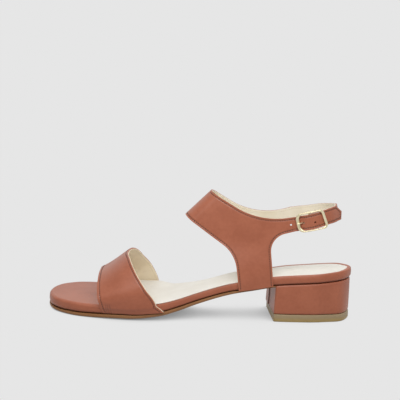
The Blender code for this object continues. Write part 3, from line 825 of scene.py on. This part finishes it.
def finish_sheet(mesh, thick, bevel, cutter=None):
    """Gives a sheet its thickness towards the foot, rounds its rim, cuts it where a cutter goes through,
    and drops slivers."""
    holder = bpy.data.objects.new("holder", mesh)
    bpy.context.collection.objects.link(holder)
    wall = holder.modifiers.new("wall", "SOLIDIFY")
    wall.thickness = thick * MM
    wall.offset = -1.0
    rim = holder.modifiers.new("rim", "BEVEL")
    rim.width = bevel * MM
    rim.segments = RIM_SEGMENTS
    rim.limit_method = "ANGLE"
    rim.angle_limit = RIM_ANGLE
    if cutter is not None:
        cut = holder.modifiers.new("holes", "BOOLEAN")
        cut.operation = "DIFFERENCE"
        cut.solver = "EXACT"
        cut.object = cutter
    made = bpy.data.meshes.new_from_object(holder.evaluated_get(bpy.context.evaluated_depsgraph_get()))
    name = mesh.name
    bpy.data.objects.remove(holder)
    bpy.data.meshes.remove(mesh)
    made.name = name
    work = bmesh.new()
    work.from_mesh(made)
    bmesh.ops.dissolve_degenerate(work, edges=work.edges, dist=MERGE * MM)
    work.to_mesh(made)
    work.free()
    return made


def sewn_sheet(name, points, faces, seams, cutter=None):
    """Leather face half a wall outside the middle surface, pressed in along its seams by a bell curve of
    the distance; carries seam nearness, which darkens the leather as burnish, edge paint and painted shade
    in the pressed groove."""
    mesh = mesh_from(name, points, faces, HEEL_AXIS)
    place, normal = vertices_of(mesh)
    near = distance_to(place + normal * SEAM_OUT, np.concatenate(seams))
    out = WALL / 2 - SEAM_PRESS * bell(near, 0.0, SEAM_PRESS_WIDTH)
    put_vertices(mesh, place + normal * out[:, None])
    paint_seam_and_shade(mesh, bell(near, 0.0, SEAM_DARK_WIDTH))
    return finish_sheet(mesh, LEATHER, LEATHER_RIM, cutter)


def lining_sheet(name, points, faces, cutter=None):
    """The lining under the leather, from its inner face to the wall's inner face."""
    mesh = mesh_from(name, points, faces, HEEL_AXIS)
    place, normal = vertices_of(mesh)
    put_vertices(mesh, place + normal * (WALL / 2 - LEATHER - LINING_GAP))
    return finish_sheet(mesh, WALL - LEATHER - LINING_GAP, LINING_RIM, cutter)


def thread_run(path, normal, thick):
    """Stitches along a path: each is a round thread whose radius dies away at both ends as the fourth power
    of the distance, and which arches out of the leather and back as a parabola."""
    length = run_length(path)
    centres = (np.arange(int(length[-1] / STITCH_PITCH)) + 0.5) * STITCH_PITCH
    fields = (path, normal, np.gradient(path, axis=0))
    centre, out, along = (between(length, field, centres) for field in fields)
    along = unit(along)
    across = unit(np.cross(out, along))
    out = np.cross(along, across)
    s = np.linspace(-1, 1, THREAD_RINGS)
    angle = np.linspace(0, 2 * np.pi, THREAD_SIDES, endpoint=False)
    radius = (thick * (1 - STITCH_TAPER * s**4))[:, None]
    lift = (STITCH_ARCH * (1 - s * s) - STITCH_SUNK)[:, None] + radius * np.cos(angle)
    swing = radius * np.sin(angle)
    points = centre[:, None, None] + 0.5 * STITCH_LONG * s[None, :, None, None] * along[:, None, None]
    points = points + lift[None, :, :, None] * out[:, None, None]
    points = points + swing[None, :, :, None] * across[:, None, None]
    return points.reshape(-1, 3)


def thread_mesh(name, runs):
    """All the stitches of one piece as one mesh; each is a stack of rings with a cap on both ends."""
    points = np.concatenate(runs)
    size = THREAD_RINGS * THREAD_SIDES
    first = np.arange(0, len(points), size)[:, None, None]
    side = quads(THREAD_RINGS, THREAD_SIDES, round_rows=True)
    ends = np.stack([np.arange(THREAD_SIDES), np.arange(size - THREAD_SIDES, size)])
    faces = [*(first + side).reshape(-1, 4), *(first + ends).reshape(-1, THREAD_SIDES)]
    return mesh_from(name, points, faces)


def thread_material(name, deep, light):
    """Waxed sewing thread: fine fibres darken and roughen it."""
    material, tree, shader = new_material(name, {"IOR": 1.5})
    fibre = tree.noise(3500, 2)
    drive(shader, {
        "Base Color": fibre.colours(deep, light),
        "Roughness": 0.55 + 0.2 * fibre,
        "Normal": fibre.bump(0.0001),
    })
    return material


brown_thread = thread_material("brown thread", (0.06, 0.026, 0.018), (0.13, 0.056, 0.037))
tan_thread = thread_material("tan thread", (0.50, 0.37, 0.22), (0.60, 0.47, 0.30))
# A warmer copy of the ankle's lining leather: the warmth is painted bounce light from the brown leather
# inside the vamp.
vamp_lining_painted_bounce = pale_leather("vamp lining leather with painted bounce", (0.82, 0.715, 0.515), (0.88, 0.785, 0.60))


def lined_pieces(name, node, leather, lining, lining_leather, seams, thread_radius):
    """The four pieces of a lined upper: leather, lining, and its stitches as they show on either side."""
    outside = [thread_run(path, normal, thread_radius) for path, normal in seams]
    inside = [thread_run(path - 2 * SEAM_OUT * normal, -normal, FINE_THREAD_R) for path, normal in seams]
    piece_from(leather, brown_leather, node)
    piece_from(lining, lining_leather, node)
    piece_from(thread_mesh(name + "_stitches", outside), brown_thread, node)
    piece_from(thread_mesh(name + "_lining_stitches", inside), tan_thread, node)


def vamp_grid(count, rows, rear=1.0):
    """Points and faces of the vamp's middle surface, from its front edge to a share of its width."""
    v, u = np.meshgrid(np.linspace(-1, 1, count), np.linspace(0, rear, rows), indexing="ij")
    return vamp_surface(u, v), quads(count, rows)


def vamp_seam(v, rear):
    """Line on the vamp at the seam's inset from its front or rear edge, allowing for the edge's slant."""
    ends = vamp_surface(np.zeros_like(v), v), vamp_surface(np.ones_like(v), v)
    across = ends[1] - ends[0]
    width = np.linalg.norm(across, axis=1)
    edge = unit(np.gradient(ends[rear], axis=0))
    slant = np.linalg.norm(np.cross(edge, across), axis=1) / width
    u = VAMP_SEAM_INSETS[rear] / (width * slant)
    return raised(vamp_surface, 1 - u if rear else u, v, SEAM_OUT)


def vamp_pleat(at):
    """Short line up from the sole near the vamp's front corner, leaning back as it rises."""
    u = at + VAMP_PLEAT_LEAN * (VAMP_PLEAT_V - VAMP_PLEAT_MIDDLE)
    return raised(vamp_surface, u, VAMP_PLEAT_V, SEAM_OUT)[0]


seam_v = np.linspace(-VAMP_SEAM_END, VAMP_SEAM_END, SEAM_SAMPLES)
vamp_seams = [vamp_seam(seam_v, rear) for rear in (False, True)]
pressed = [path for path, _ in vamp_seams] + [vamp_pleat(at) for at in VAMP_PLEATS]
lined_pieces(
    "vamp", "vamp_strap",
    sewn_sheet("vamp_leather", *vamp_grid(*VAMP_GRID), pressed),
    lining_sheet("vamp_lining", *vamp_grid(*VAMP_LINING_GRID, VAMP_LINING_REAR)),
    vamp_lining_painted_bounce, vamp_seams, FINE_THREAD_R,
)

# Ankle upper. One lined leather cut: an instep band with a leg on either side, lasted under beside the
# footbed, a punched strap on the outer side and a buckle strap from the inner side round the heel. Sewn
# like the vamp.
CREST_TOP = (7.4, 101.7)
CREST_LOW = (-13.1, 81.2)
STRAP_START_X = 74.8
COLLAR = ((*CREST_TOP, 0), (46.1, 80.5, 60), (STRAP_START_X, 86.4, 0))
LEG_FRONT = ((*CREST_LOW, 0), (27.4, 53.8, 26), (31.4, None, 0))
LEG_REAR = ((58.9, None, 0), (54.8, 68.6, 15), (STRAP_START_X, 74.8, 0))
INNER_LEG_SHIFT = 1.8
INNER_COLLAR_DROP = 2.7
LEG_COLLAR = (0.42, 0.70)
LEG_BLEND_LOW = 1.0
LEG_BLEND_TOP = 66.0
LOOP_FRONT_R = 12.0
LOOP_BACK_R = 25.0
LOOP_BACK_X = 110.6
BACK_LEAN = 0.18
BACK_LEAN_FROM = 85.0
RIB_STEPS = 40
BAND_STEPS = 84
BAND_CROWDING = 1.4
LEG_STEPS = 40
TURN_STEPS = 44
PUNCHED_STEPS = 76
BUCKLE_STRAP_STEPS = 140

# distance from a quarter, middle height of punched strap, buckle strap outside and inside, half width
STRAP = np.array((
    (0.0, 80.6, 80.6, 80.6, 5.8),
    (12.0, 83.5, 83.4, 81.7, 6.1),
    (26.0, 87.5, 86.8, 84.5, 6.1),
    (50.2, 90.4, 88.2, 88.2, 6.0),
))
PUNCHED, BUCKLE_OUTER, BUCKLE_INNER, HALF_WIDTH = 1, 2, 3, 4
STRAP_HALF = 6.0
STRAP_END_SLANT = 14.0
TAIL_LEAVES = 33.0
TAIL_END = 42.2
TAIL_CUT = ((7.0, 0.95), (1.8, 0.88))
TAIL_SEAM = (7.8, 2.6, 3.2)
BAR_AT = 11.3
LAP_RISE = (2.0, 9.0)
FRAME_TILT = math.radians(15)
WIRE_R = 0.8
SEAM_INSET = 1.6
SEAM_OVER_SOLE = 0.8
BUCKLE_SEAM_END = 1.5
THREAD_R = 0.29

# distance from the quarter, place across, half the slot's length and inner end of each hole's peg
HOLES = ((-4.0, 0.12, 0.0, -2.0), (4.9, 0.0, 1.0, 0.8), (14.2, -0.15, 0.0, 1.05))
HOLE_R = 0.8
QUARTER_HOLE_DROP = 1.6
PEG_TOP = 4.0
PEG_SIDES = 24


def loop_at(x, z):
    """Half width and outward normal of the ankle loop in plan: two circles joined by their outer tangents,
    the front one following the crest's slope."""
    crest_slope = (CREST_TOP[0] - CREST_LOW[0]) / (CREST_TOP[1] - CREST_LOW[1])
    front_x = CREST_TOP[0] - (CREST_TOP[1] - z) * crest_slope + LOOP_FRONT_R
    back_x = LOOP_BACK_X - LOOP_BACK_R
    lean = (LOOP_BACK_R - LOOP_FRONT_R) / (back_x - front_x)
    level = np.sqrt(1 - lean * lean)
    nose = x < front_x - LOOP_FRONT_R * lean
    curved = nose | (x > back_x - LOOP_BACK_R * lean)
    centre, radius = np.where(nose, front_x, back_x), np.where(nose, LOOP_FRONT_R, LOOP_BACK_R)
    half = np.sqrt(np.maximum(radius**2 - (x - centre) ** 2, 0.0))
    flat = LOOP_FRONT_R * level + (x - front_x + LOOP_FRONT_R * lean) * lean / level
    return (
        np.where(curved, half, flat),
        np.where(curved, (x - centre) / radius, -lean),
        np.where(curved, half / radius, level),
    )


def ankle_surface(x, z, side, out=0.0):
    """Point at place x and height z: the ankle loop above, drawn out to the footbed's edge at the sole, and
    leaning forwards at the back."""
    half, normal_x, normal_y = loop_at(x, z)
    foot = edge_half_width(side, x) + GAP + WALL / 2
    half = foot + (half - foot) * ease(z, footbed_top(x) + LEG_BLEND_LOW, LEG_BLEND_TOP)
    lean = BACK_LEAN * (z - BACK_LEAN_FROM) * ease(x, STRAP_START_X, LOOP_BACK_X)
    y = HEEL_AXIS + side * (half + normal_y * out)
    return np.stack([x + normal_x * out - lean, y, z + 0 * x], axis=-1)


_, strap_lean, strap_level = loop_at(np.array(STRAP_START_X), np.array(STRAP[0, PUNCHED]))
strap_straight = (LOOP_BACK_X - LOOP_BACK_R + LOOP_BACK_R * strap_lean - STRAP_START_X) / strap_level
half_loop = float(strap_straight + LOOP_BACK_R * (math.pi / 2 - np.arcsin(strap_lean)))
buckle_end = 2 * half_loop - BAR_AT - WIRE_R - GAP


def strap_surface(distance, height, side, out=0.0):
    """Point at a distance along the strap: a straight run from the quarter, then a turn round the heel."""
    turn = np.arcsin(strap_lean) + np.maximum(distance - strap_straight, 0.0) / LOOP_BACK_R
    round_x = LOOP_BACK_X - LOOP_BACK_R + LOOP_BACK_R * np.sin(turn)
    x = np.where(distance < strap_straight, STRAP_START_X + distance * strap_level, round_x)
    return ankle_surface(x, height, side, out)


def strap_size(distance, column):
    """One column of the strap's sizes at a distance, by the smooth curve through its rows."""
    return smooth(STRAP[:, 0], STRAP[:, column], distance)


def lap(distance):
    """How far the punched strap stands out over the buckle's bar and the other strap."""
    return (WALL + GAP) * ease(distance, *LAP_RISE)


def rounded_path(corners, arc_steps=40):
    """Straight runs through corners of x, height and radius, each corner turned by an arc."""
    path = [np.array([corners[0][:2]])]
    for before, corner, after in zip(corners, corners[1:], corners[2:]):
        at, back, ahead = (np.array(end[:2], float) for end in (corner, before, after))
        back, ahead = unit(back - at), unit(ahead - at)
        half = math.acos(back @ ahead) / 2
        centre = at + unit(back + ahead) * corner[2] / math.sin(half)
        start, end = (at + way * corner[2] / math.tan(half) - centre for way in (back, ahead))
        turn = math.pi - 2 * half
        t = np.linspace(0, 1, arc_steps + 1)[:, None]
        path.append(centre + (np.sin((1 - t) * turn) * start + np.sin(t * turn) * end) / math.sin(turn))
    return np.concatenate([*path, np.array([corners[-1][:2]])])


def quarter_paths(side):
    """Front, rear and collar lines of one quarter in x and height; the legs end at the sole."""
    shift = INNER_LEG_SHIFT if side > 0 else 0.0
    legs = []
    for corners, move in ((LEG_FRONT, shift), (LEG_REAR, 0.0)):
        moved = [(x + (move if x != CREST_LOW[0] else 0.0), z, radius) for x, z, radius in corners]
        legs.append([(x, outsole_top(x) + GAP if z is None else z, radius) for x, z, radius in moved])
    drop = INNER_COLLAR_DROP if side > 0 else 0.0
    collar = [(x, z - (drop if radius else 0.0), radius) for x, z, radius in COLLAR]
    return [rounded_path(corners) for corners in (*legs, collar)]


def ribs(top, base, rows):
    """Straight ribs between facing points, as a grid."""
    t = np.linspace(0, 1, rows + 1)[None, :, None]
    return top[:, None] * (1 - t) + base[:, None] * t


def quarter_patches(side, fine):
    """Grids of one quarter: the band, the leg under the collar, and the turn into the strap. Each is ruled
    between two edge lines in x and height, and the leg's grid is drawn to the collar and the sole."""
    front, rear, collar = quarter_paths(side)
    rows = round(RIB_STEPS * fine)
    bottom, fillet = rear[:1], rear[1:]
    leg_start, leg_end = LEG_COLLAR
    share = np.linspace(0, 1, round(BAND_STEPS * fine) + 1) ** BAND_CROWDING
    band = ribs(evenly(collar, share * leg_start), evenly(front, share), 2 * rows)
    upper = ribs(evenly(collar, [leg_end]), fillet[:1], rows)[0]
    rear_rib = np.concatenate([upper, ribs(fillet[:1], bottom, rows)[0, 1:]])
    share = np.linspace(0, 1, round(LEG_STEPS * fine) + 1)
    leg = band[-1] + share[:, None, None] * (rear_rib - band[-1])
    down = np.linspace(0, 1, 2 * rows + 1)[None, :, None]
    to_collar = evenly(collar, leg_start + share * (leg_end - leg_start)) - leg[:, 0]
    to_sole = np.stack([0 * share, outsole_top(leg[:, -1, 0]) + GAP - leg[:, -1, 1]], axis=1)
    leg = leg + to_collar[:, None] * (1 - down) ** 2 + to_sole[:, None] * down**2
    share = np.linspace(0, 1, round(TURN_STEPS * fine) + 1)
    turn = ribs(evenly(collar, leg_end + share * (1 - leg_end)), evenly(fillet, share), rows)
    return [ankle_surface(patch[..., 0], patch[..., 1], side) for patch in (band, leg, turn)]


def tail_edges(at):
    """Upper and lower edge of the punched strap as shares of its half width, cut aslant at the end."""
    cut = [depth * np.maximum(1 - (TAIL_END - at) / run, 0.0) for run, depth in TAIL_CUT]
    return 1 - cut[0], cut[1] - 1


def punched_point(at, across, out=0.0, step=0.1):
    """Point of the punched strap, across it from the lower (-1) to the upper (1) edge; its tail leaves the
    turn round the heel and runs on straight."""
    height = strap_size(at, PUNCHED) + across * strap_size(at, HALF_WIDTH)
    on_turn = np.minimum(at, TAIL_LEAVES)
    ends = [strap_surface(on_turn + move, height, -1, lap(at) + out) for move in (-step, step)]
    straight = (at - on_turn)[..., None] * (ends[1] - ends[0]) / (2 * step)
    return (ends[0] + ends[1]) / 2 + straight


def buckle_strap_point(at, across):
    """Point of the buckle strap: up the inner side to the middle of the heel, and back on the outer side;
    its end is cut aslant to lie along the buckle's bar."""
    inside = at <= half_loop
    here = np.where(inside, at, 2 * half_loop - at)
    middle = np.where(inside, strap_size(here, BUCKLE_INNER), strap_size(here, BUCKLE_OUTER))
    up = across * strap_size(here, HALF_WIDTH)
    slant = math.tan(FRAME_TILT) * ease(at, buckle_end - STRAP_END_SLANT, buckle_end)
    return strap_surface(here - slant * up, middle + up, np.where(inside, 1, -1))


def upper_grids(fine):
    """All patches of the upper as points and faces."""
    share = np.linspace(0, 1, round(RIB_STEPS * fine) + 1)[None, :]
    at = np.linspace(0, TAIL_END, round(PUNCHED_STEPS * fine) + 1)[:, None]
    top, base = tail_edges(at)
    patches = [punched_point(at + 0 * share, top + share * (base - top))]
    at = np.linspace(0, buckle_end, round(BUCKLE_STRAP_STEPS * fine) + 1)[:, None]
    patches.append(buckle_strap_point(at + 0 * share, 1 - 2 * share + 0 * at))
    for side in (-1, 1):
        patches += quarter_patches(side, fine)
    first = np.cumsum([0] + [patch.shape[0] * patch.shape[1] for patch in patches])
    faces = [quads(*patch.shape[:2], start) for patch, start in zip(patches, first)]
    return np.concatenate([patch.reshape(-1, 3) for patch in patches]), np.concatenate(faces)


def inside_of(path, inset, turn, count=700):
    """The path moved sideways by an inset, to its left (1) or right (-1)."""
    fine = evenly(path, np.linspace(0, 1, count))
    along = unit(np.gradient(fine, axis=0))
    return fine + turn * inset * np.stack([-along[:, 1], along[:, 0]], axis=1)


def upper_seams():
    """Seam lines of the upper with the leather's normals, just inside its edges."""
    seams = []
    for side in (-1, 1):
        front, rear, collar = quarter_paths(side)
        for path, turn in ((collar, -1), (front, 1), (rear, 1)):
            line = inside_of(path, SEAM_INSET, turn)
            line = line[line[:, 1] > outsole_top(line[:, 0]) + GAP + SEAM_OVER_SOLE]
            seams.append(raised(lambda x, z: ankle_surface(x, z, side), line[:, 0], line[:, 1], SEAM_OUT))
    near = SEAM_INSET / strap_size(0.5 * TAIL_END, HALF_WIDTH)
    upper, tip, lower = (TAIL_END - back for back in TAIL_SEAM)
    corners = np.array(((0, 1 - near), (upper, 1 - near), (tip, 0.0), (lower, near - 1), (0, near - 1)))
    line = evenly(corners * [1, STRAP_HALF], np.linspace(0, 1, SEAM_SAMPLES)) / [1, STRAP_HALF]
    seams.append(raised(punched_point, line[:, 0], line[:, 1], SEAM_OUT))
    at = np.linspace(0, buckle_end - BUCKLE_SEAM_END, SEAM_SAMPLES)
    for across in (1 - near, near - 1):
        seams.append(raised(buckle_strap_point, at, across + 0 * at, SEAM_OUT))
    return seams


def tail_cut(count=90):
    """Line along the slanting cut at the punched strap's end, whose raw edge is painted dark."""
    lines = []
    for which, (run, _) in enumerate(TAIL_CUT):
        at = np.linspace(TAIL_END - run, TAIL_END, count)
        lines.append(raised(punched_point, at, tail_edges(at)[which], SEAM_OUT)[0])
    return np.concatenate(lines)


def hole_cutter():
    """Round pegs through the punched strap, one for each hole, and a long one where the prong goes in; pegs
    over the prong and the buckle strap stop inside the leather."""
    turn = np.linspace(0, 2 * np.pi, PEG_SIDES, endpoint=False)
    rings = []
    faces = []
    for at, across, half_long, deep in HOLES:
        along = HOLE_R * np.cos(turn) + half_long * np.sign(np.cos(turn))
        height = strap_size(max(at, 0.0), PUNCHED) + across * STRAP_HALF + HOLE_R * np.sin(turn)
        first = len(rings) * PEG_SIDES
        faces += [[first + corner for corner in face] for face in ring_faces(2, PEG_SIDES)]
        for out in (deep, PEG_TOP):
            if at < 0:
                x = STRAP_START_X + (at + along) * float(strap_level)
                rings.append(ankle_surface(x, height - QUARTER_HOLE_DROP, -1, out))
            else:
                rings.append(strap_surface(at + along, height + math.tan(FRAME_TILT) * along, -1, out))
    cutter = bpy.data.objects.new("cutter", mesh_from("cutter", np.concatenate(rings), faces))
    bpy.context.collection.objects.link(cutter)
    return cutter


ankle_lining_leather = pale_leather("ankle lining leather", (0.785, 0.705, 0.55), (0.85, 0.78, 0.64))
seams = upper_seams()
pressed = [path for path, _ in seams] + [tail_cut()]
cutter = hole_cutter()
lined_pieces(
    "ankle", "ankle_upper",
    sewn_sheet("ankle_leather", *upper_grids(1.0), pressed, cutter),
    lining_sheet("ankle_lining", *upper_grids(0.5), cutter),
    ankle_lining_leather, seams, THREAD_R,
)
bpy.data.objects.remove(cutter)

# Buckle. A cast frame in pale gold plate with a bar across its middle, on which the prong turns. The buckle
# strap is folded round the bar, and the punched strap passes under the frame and over the bar.
FRAME_HALF = (9.9, 7.2)
FRAME_CORNER = {-1: 4.6, 1: 3.0}
FRAME_RISE = 0.7
FRAME_LIFT = {-1: 2.2, 1: 4.2}
FRAME_WIRE = {-1: 1.35, 0: 0.62, 1: 1.1}
FRAME_END_FROM = 0.55
BAR_R = 0.9 * WIRE_R
PRONG_R = 0.6
PRONG_BEND = ((-4.4, -0.3), (-6.0, 0.8), (-8.0, 2.9))
PRONG_REST = (1.2, -0.4)
WIRE_SIDES = 14
WIRE_SHARES = np.linspace(0, 1, 60)

gold, tree, shader = new_material("pale gold plate", {"Metallic": 1.0})
wear = tree.noise(260, 3)
drive(shader, {
    "Base Color": wear.ramp(0.3, 0.7).colours((0.78, 0.69, 0.45), (0.87, 0.79, 0.56)),
    "Roughness": 0.34 + 0.14 * wear,
})


def wire(path, radius, closed, broad=1.0):
    """Wire along a path: each ring stands square to the path, and broad widens it sideways there."""
    if closed:
        tangent = unit(np.roll(path, -1, axis=0) - np.roll(path, 1, axis=0))
        faces = quads(len(path), WIRE_SIDES, round_count=True, round_rows=True).tolist()
    else:
        tangent = unit(np.gradient(path, axis=0))
        faces = ring_faces(len(path), WIRE_SIDES)
    across = unit(np.cross(tangent, [0.0, -1.0, 0.0]))
    outward = np.cross(across, tangent)
    across = across * np.reshape(broad, (-1, 1))
    angle = np.linspace(0, 2 * np.pi, WIRE_SIDES, endpoint=False)[None, :, None]
    points = path[:, None] + radius * (np.cos(angle) * across[:, None] + np.sin(angle) * outward[:, None])
    return points.reshape(-1, 3), faces


def buckle_point(along, across, lift):
    """Point over the outer strap: along and across the frame from its bar, and out from the strap."""
    at = BAR_AT + along * math.cos(FRAME_TILT) - across * math.sin(FRAME_TILT)
    middle = strap_size(BAR_AT, BUCKLE_OUTER) + FRAME_RISE
    height = middle + along * math.sin(FRAME_TILT) + across * math.cos(FRAME_TILT)
    return strap_surface(at, height, -1, lift)


def frame_path(count=160, corner_count=17):
    """The frame's middle line and its breadth: a rounded rectangle, standing further out from the strap
    towards the heel, and broader at its two ends."""
    half_long, half_high = FRAME_HALF
    corners = []
    for quarter, (sx, sy) in enumerate(((1, 1), (-1, 1), (-1, -1), (1, -1))):
        angle = np.linspace(0, np.pi / 2, corner_count) + quarter * np.pi / 2
        radius = FRAME_CORNER[sx]
        along = sx * (half_long - radius) + radius * np.cos(angle)
        across = sy * (half_high - radius) + radius * np.sin(angle)
        corners.append(np.stack([along, across], axis=1))
    loop = np.concatenate([*corners, corners[0][:1]])
    along, across = evenly(loop, np.linspace(0, 1, count + 1))[:-1].T
    share = (along + half_long) / (2 * half_long)
    path = buckle_point(along, across, FRAME_LIFT[-1] + share * (FRAME_LIFT[1] - FRAME_LIFT[-1]))
    ends = ease(np.abs(along) / half_long, FRAME_END_FROM, 1.0)
    end_wire = np.where(along < 0, FRAME_WIRE[-1], FRAME_WIRE[1])
    return path, (FRAME_WIRE[0] + ends * (end_wire - FRAME_WIRE[0])) / WIRE_R


ring_path, ring_broad = frame_path()
ring_points, ring_quads = wire(ring_path, WIRE_R, True, ring_broad)
bar_lift = (FRAME_LIFT[-1] + FRAME_LIFT[1]) / 2
bar_line = np.array(((1, bar_lift), (1, 0.0), (-1, 0.0), (-1, bar_lift)))
bar_path = evenly(buckle_point(0.0, bar_line[:, 0] * FRAME_HALF[1], bar_line[:, 1]), WIRE_SHARES)
bar_points, bar_faces = wire(bar_path, BAR_R, False)
bar_faces = [[corner + len(ring_points) for corner in face] for face in bar_faces]
mesh = mesh_from("buckle_ring", np.concatenate([ring_points, bar_points]), ring_quads + bar_faces)
piece_from(mesh, gold, "buckle_frame")

prong_lift = FRAME_LIFT[-1] + WIRE_R + GAP + PRONG_R
prong_tip = [(past - FRAME_HALF[0], prong_lift) for past in PRONG_REST]
prong_line = np.array(((-(WIRE_R + GAP), 0.0), *PRONG_BEND, *prong_tip))
prong_path = evenly(buckle_point(prong_line[:, 0], 0.0, prong_line[:, 1]), WIRE_SHARES)
mesh = mesh_from("buckle_pin", *wire(prong_path, PRONG_R, False))
piece_from(mesh, gold, "buckle_prong")

# Studio. A plain pale floor that runs into the backdrop and glows at its tone, with a painted shadow under
# the shoe where ambient occlusion darkens it; one broad soft light overhead and a bright surround with
# three wide sources. The camera stands at the outer side, a little above the shoe.
# Sizes here are in metres and angles in degrees.
scene = bpy.context.scene
BACKDROP = 0.791
FLOOR_HALF = 9
FLOOR_GREY = (0.3, 0.3, 0.3, 1)
WHITE = (1, 1, 1, 1)
SHADOW_REACH = 0.06
SHADOW_DEPTH = 0.85
SHADOW_FROM = 0.33
SURROUND = 0.26
SOFT_BOXES = ((0.68, 180, 30), (0.4, 95, 20), (0.3, 265, 50))
PANEL_SIZE = (0.5, 0.2)
PANEL_WATTS = 1.32
PANEL_PLACE = (0.03, -0.3, 0.34)
PANEL_TILT = 47
LENS_MM = 77.4
SENSOR_MM = 36.0
EYE_PLACE = (-0.0022, -0.6999, 0.2061)
EYE_DOWN = 9.19
EYE_ROLL = 1.85

floor_mesh = bpy.data.meshes.new("floor")
floor_corners = [(FLOOR_HALF * x, FLOOR_HALF * y, 0) for x, y in ((-1, -1), (1, -1), (1, 1), (-1, 1))]
floor_mesh.from_pydata(floor_corners, [], [(0, 1, 2, 3)])
floor = bpy.data.objects.new("floor", floor_mesh)
scene.collection.objects.link(floor)
floor_constants = {"Roughness": 1.0, "Specular IOR Level": 0.0, "Base Color": FLOOR_GREY}
floor_material, tree, shader = new_material("floor", floor_constants)
# Camera and glossy rays see the floor glow at the backdrop's tone, darkened near the shoe by ambient
# occlusion as a painted shadow; diffuse bounces see a matt grey floor.
bounced = tree.node("ShaderNodeLightPath", output=2)
open_sky = tree.node("ShaderNodeAmbientOcclusion", {"samples": 16}, {"Distance": SHADOW_REACH}, 1)
hidden = tree.maths("MAXIMUM", (1 - open_sky - SHADOW_FROM) * (1 / (1 - SHADOW_FROM)), 0.0)
tone = BACKDROP * (1 - SHADOW_DEPTH * hidden * hidden)
glow = tree.node("ShaderNodeEmission", None, {"Color": tone, "Strength": 1.0})
matt = Socket(tree.tree, shader.outputs[0])
shown = tree.node("ShaderNodeMixShader", None, {0: bounced, 1: glow, 2: matt})
tree.tree.links.new(shown.socket, tree.tree.nodes["Material Output"].inputs["Surface"])
floor_mesh.materials.append(floor_material)

world = bpy.data.worlds.new("surround")
world.use_nodes = True
scene.world = world
tree = Socket(world.node_tree)
seen = tree.node("ShaderNodeLightPath")
way = tree.node("ShaderNodeTexCoord")


def soft_box(azimuth, elevation):
    """Broad source: the square of the cosine of the angle from its middle, dark behind."""
    turn, lift = math.radians(azimuth), math.radians(elevation)
    middle = (math.sin(turn) * math.cos(lift), -math.cos(turn) * math.cos(lift), math.sin(lift))
    cosine = tree.node("ShaderNodeVectorMath", {"operation": "DOT_PRODUCT"}, {0: way, 1: middle}, 1)
    facing = tree.maths("MAXIMUM", cosine, 0.0)
    return facing * facing


light = sum((power * soft_box(azimuth, elevation) for power, azimuth, elevation in SOFT_BOXES), SURROUND)
strength = seen * BACKDROP + (1 - seen) * light
background = world.node_tree.nodes["Background"]
world.node_tree.links.new(strength.socket, background.inputs["Strength"])
background.inputs["Color"].default_value = WHITE

panel = bpy.data.lights.new("panel", "AREA")
panel.shape = "RECTANGLE"
panel.size, panel.size_y = PANEL_SIZE
panel.energy = PANEL_WATTS
lamp = bpy.data.objects.new("panel", panel)
lamp.matrix_world = Matrix.Translation(PANEL_PLACE) @ Matrix.Rotation(math.radians(PANEL_TILT), 4, "X")
lamp.visible_camera = False
scene.collection.objects.link(lamp)

camera = bpy.data.cameras.new("camera")
camera.sensor_width = SENSOR_MM
camera.lens = LENS_MM
eye = bpy.data.objects.new("camera", camera)
eye.matrix_world = (
    Matrix.Translation(EYE_PLACE)
    @ Matrix.Rotation(math.radians(90 - EYE_DOWN), 4, "X")
    @ Matrix.Rotation(math.radians(EYE_ROLL), 4, "Z")
)
scene.collection.objects.link(eye)
scene.camera = eye
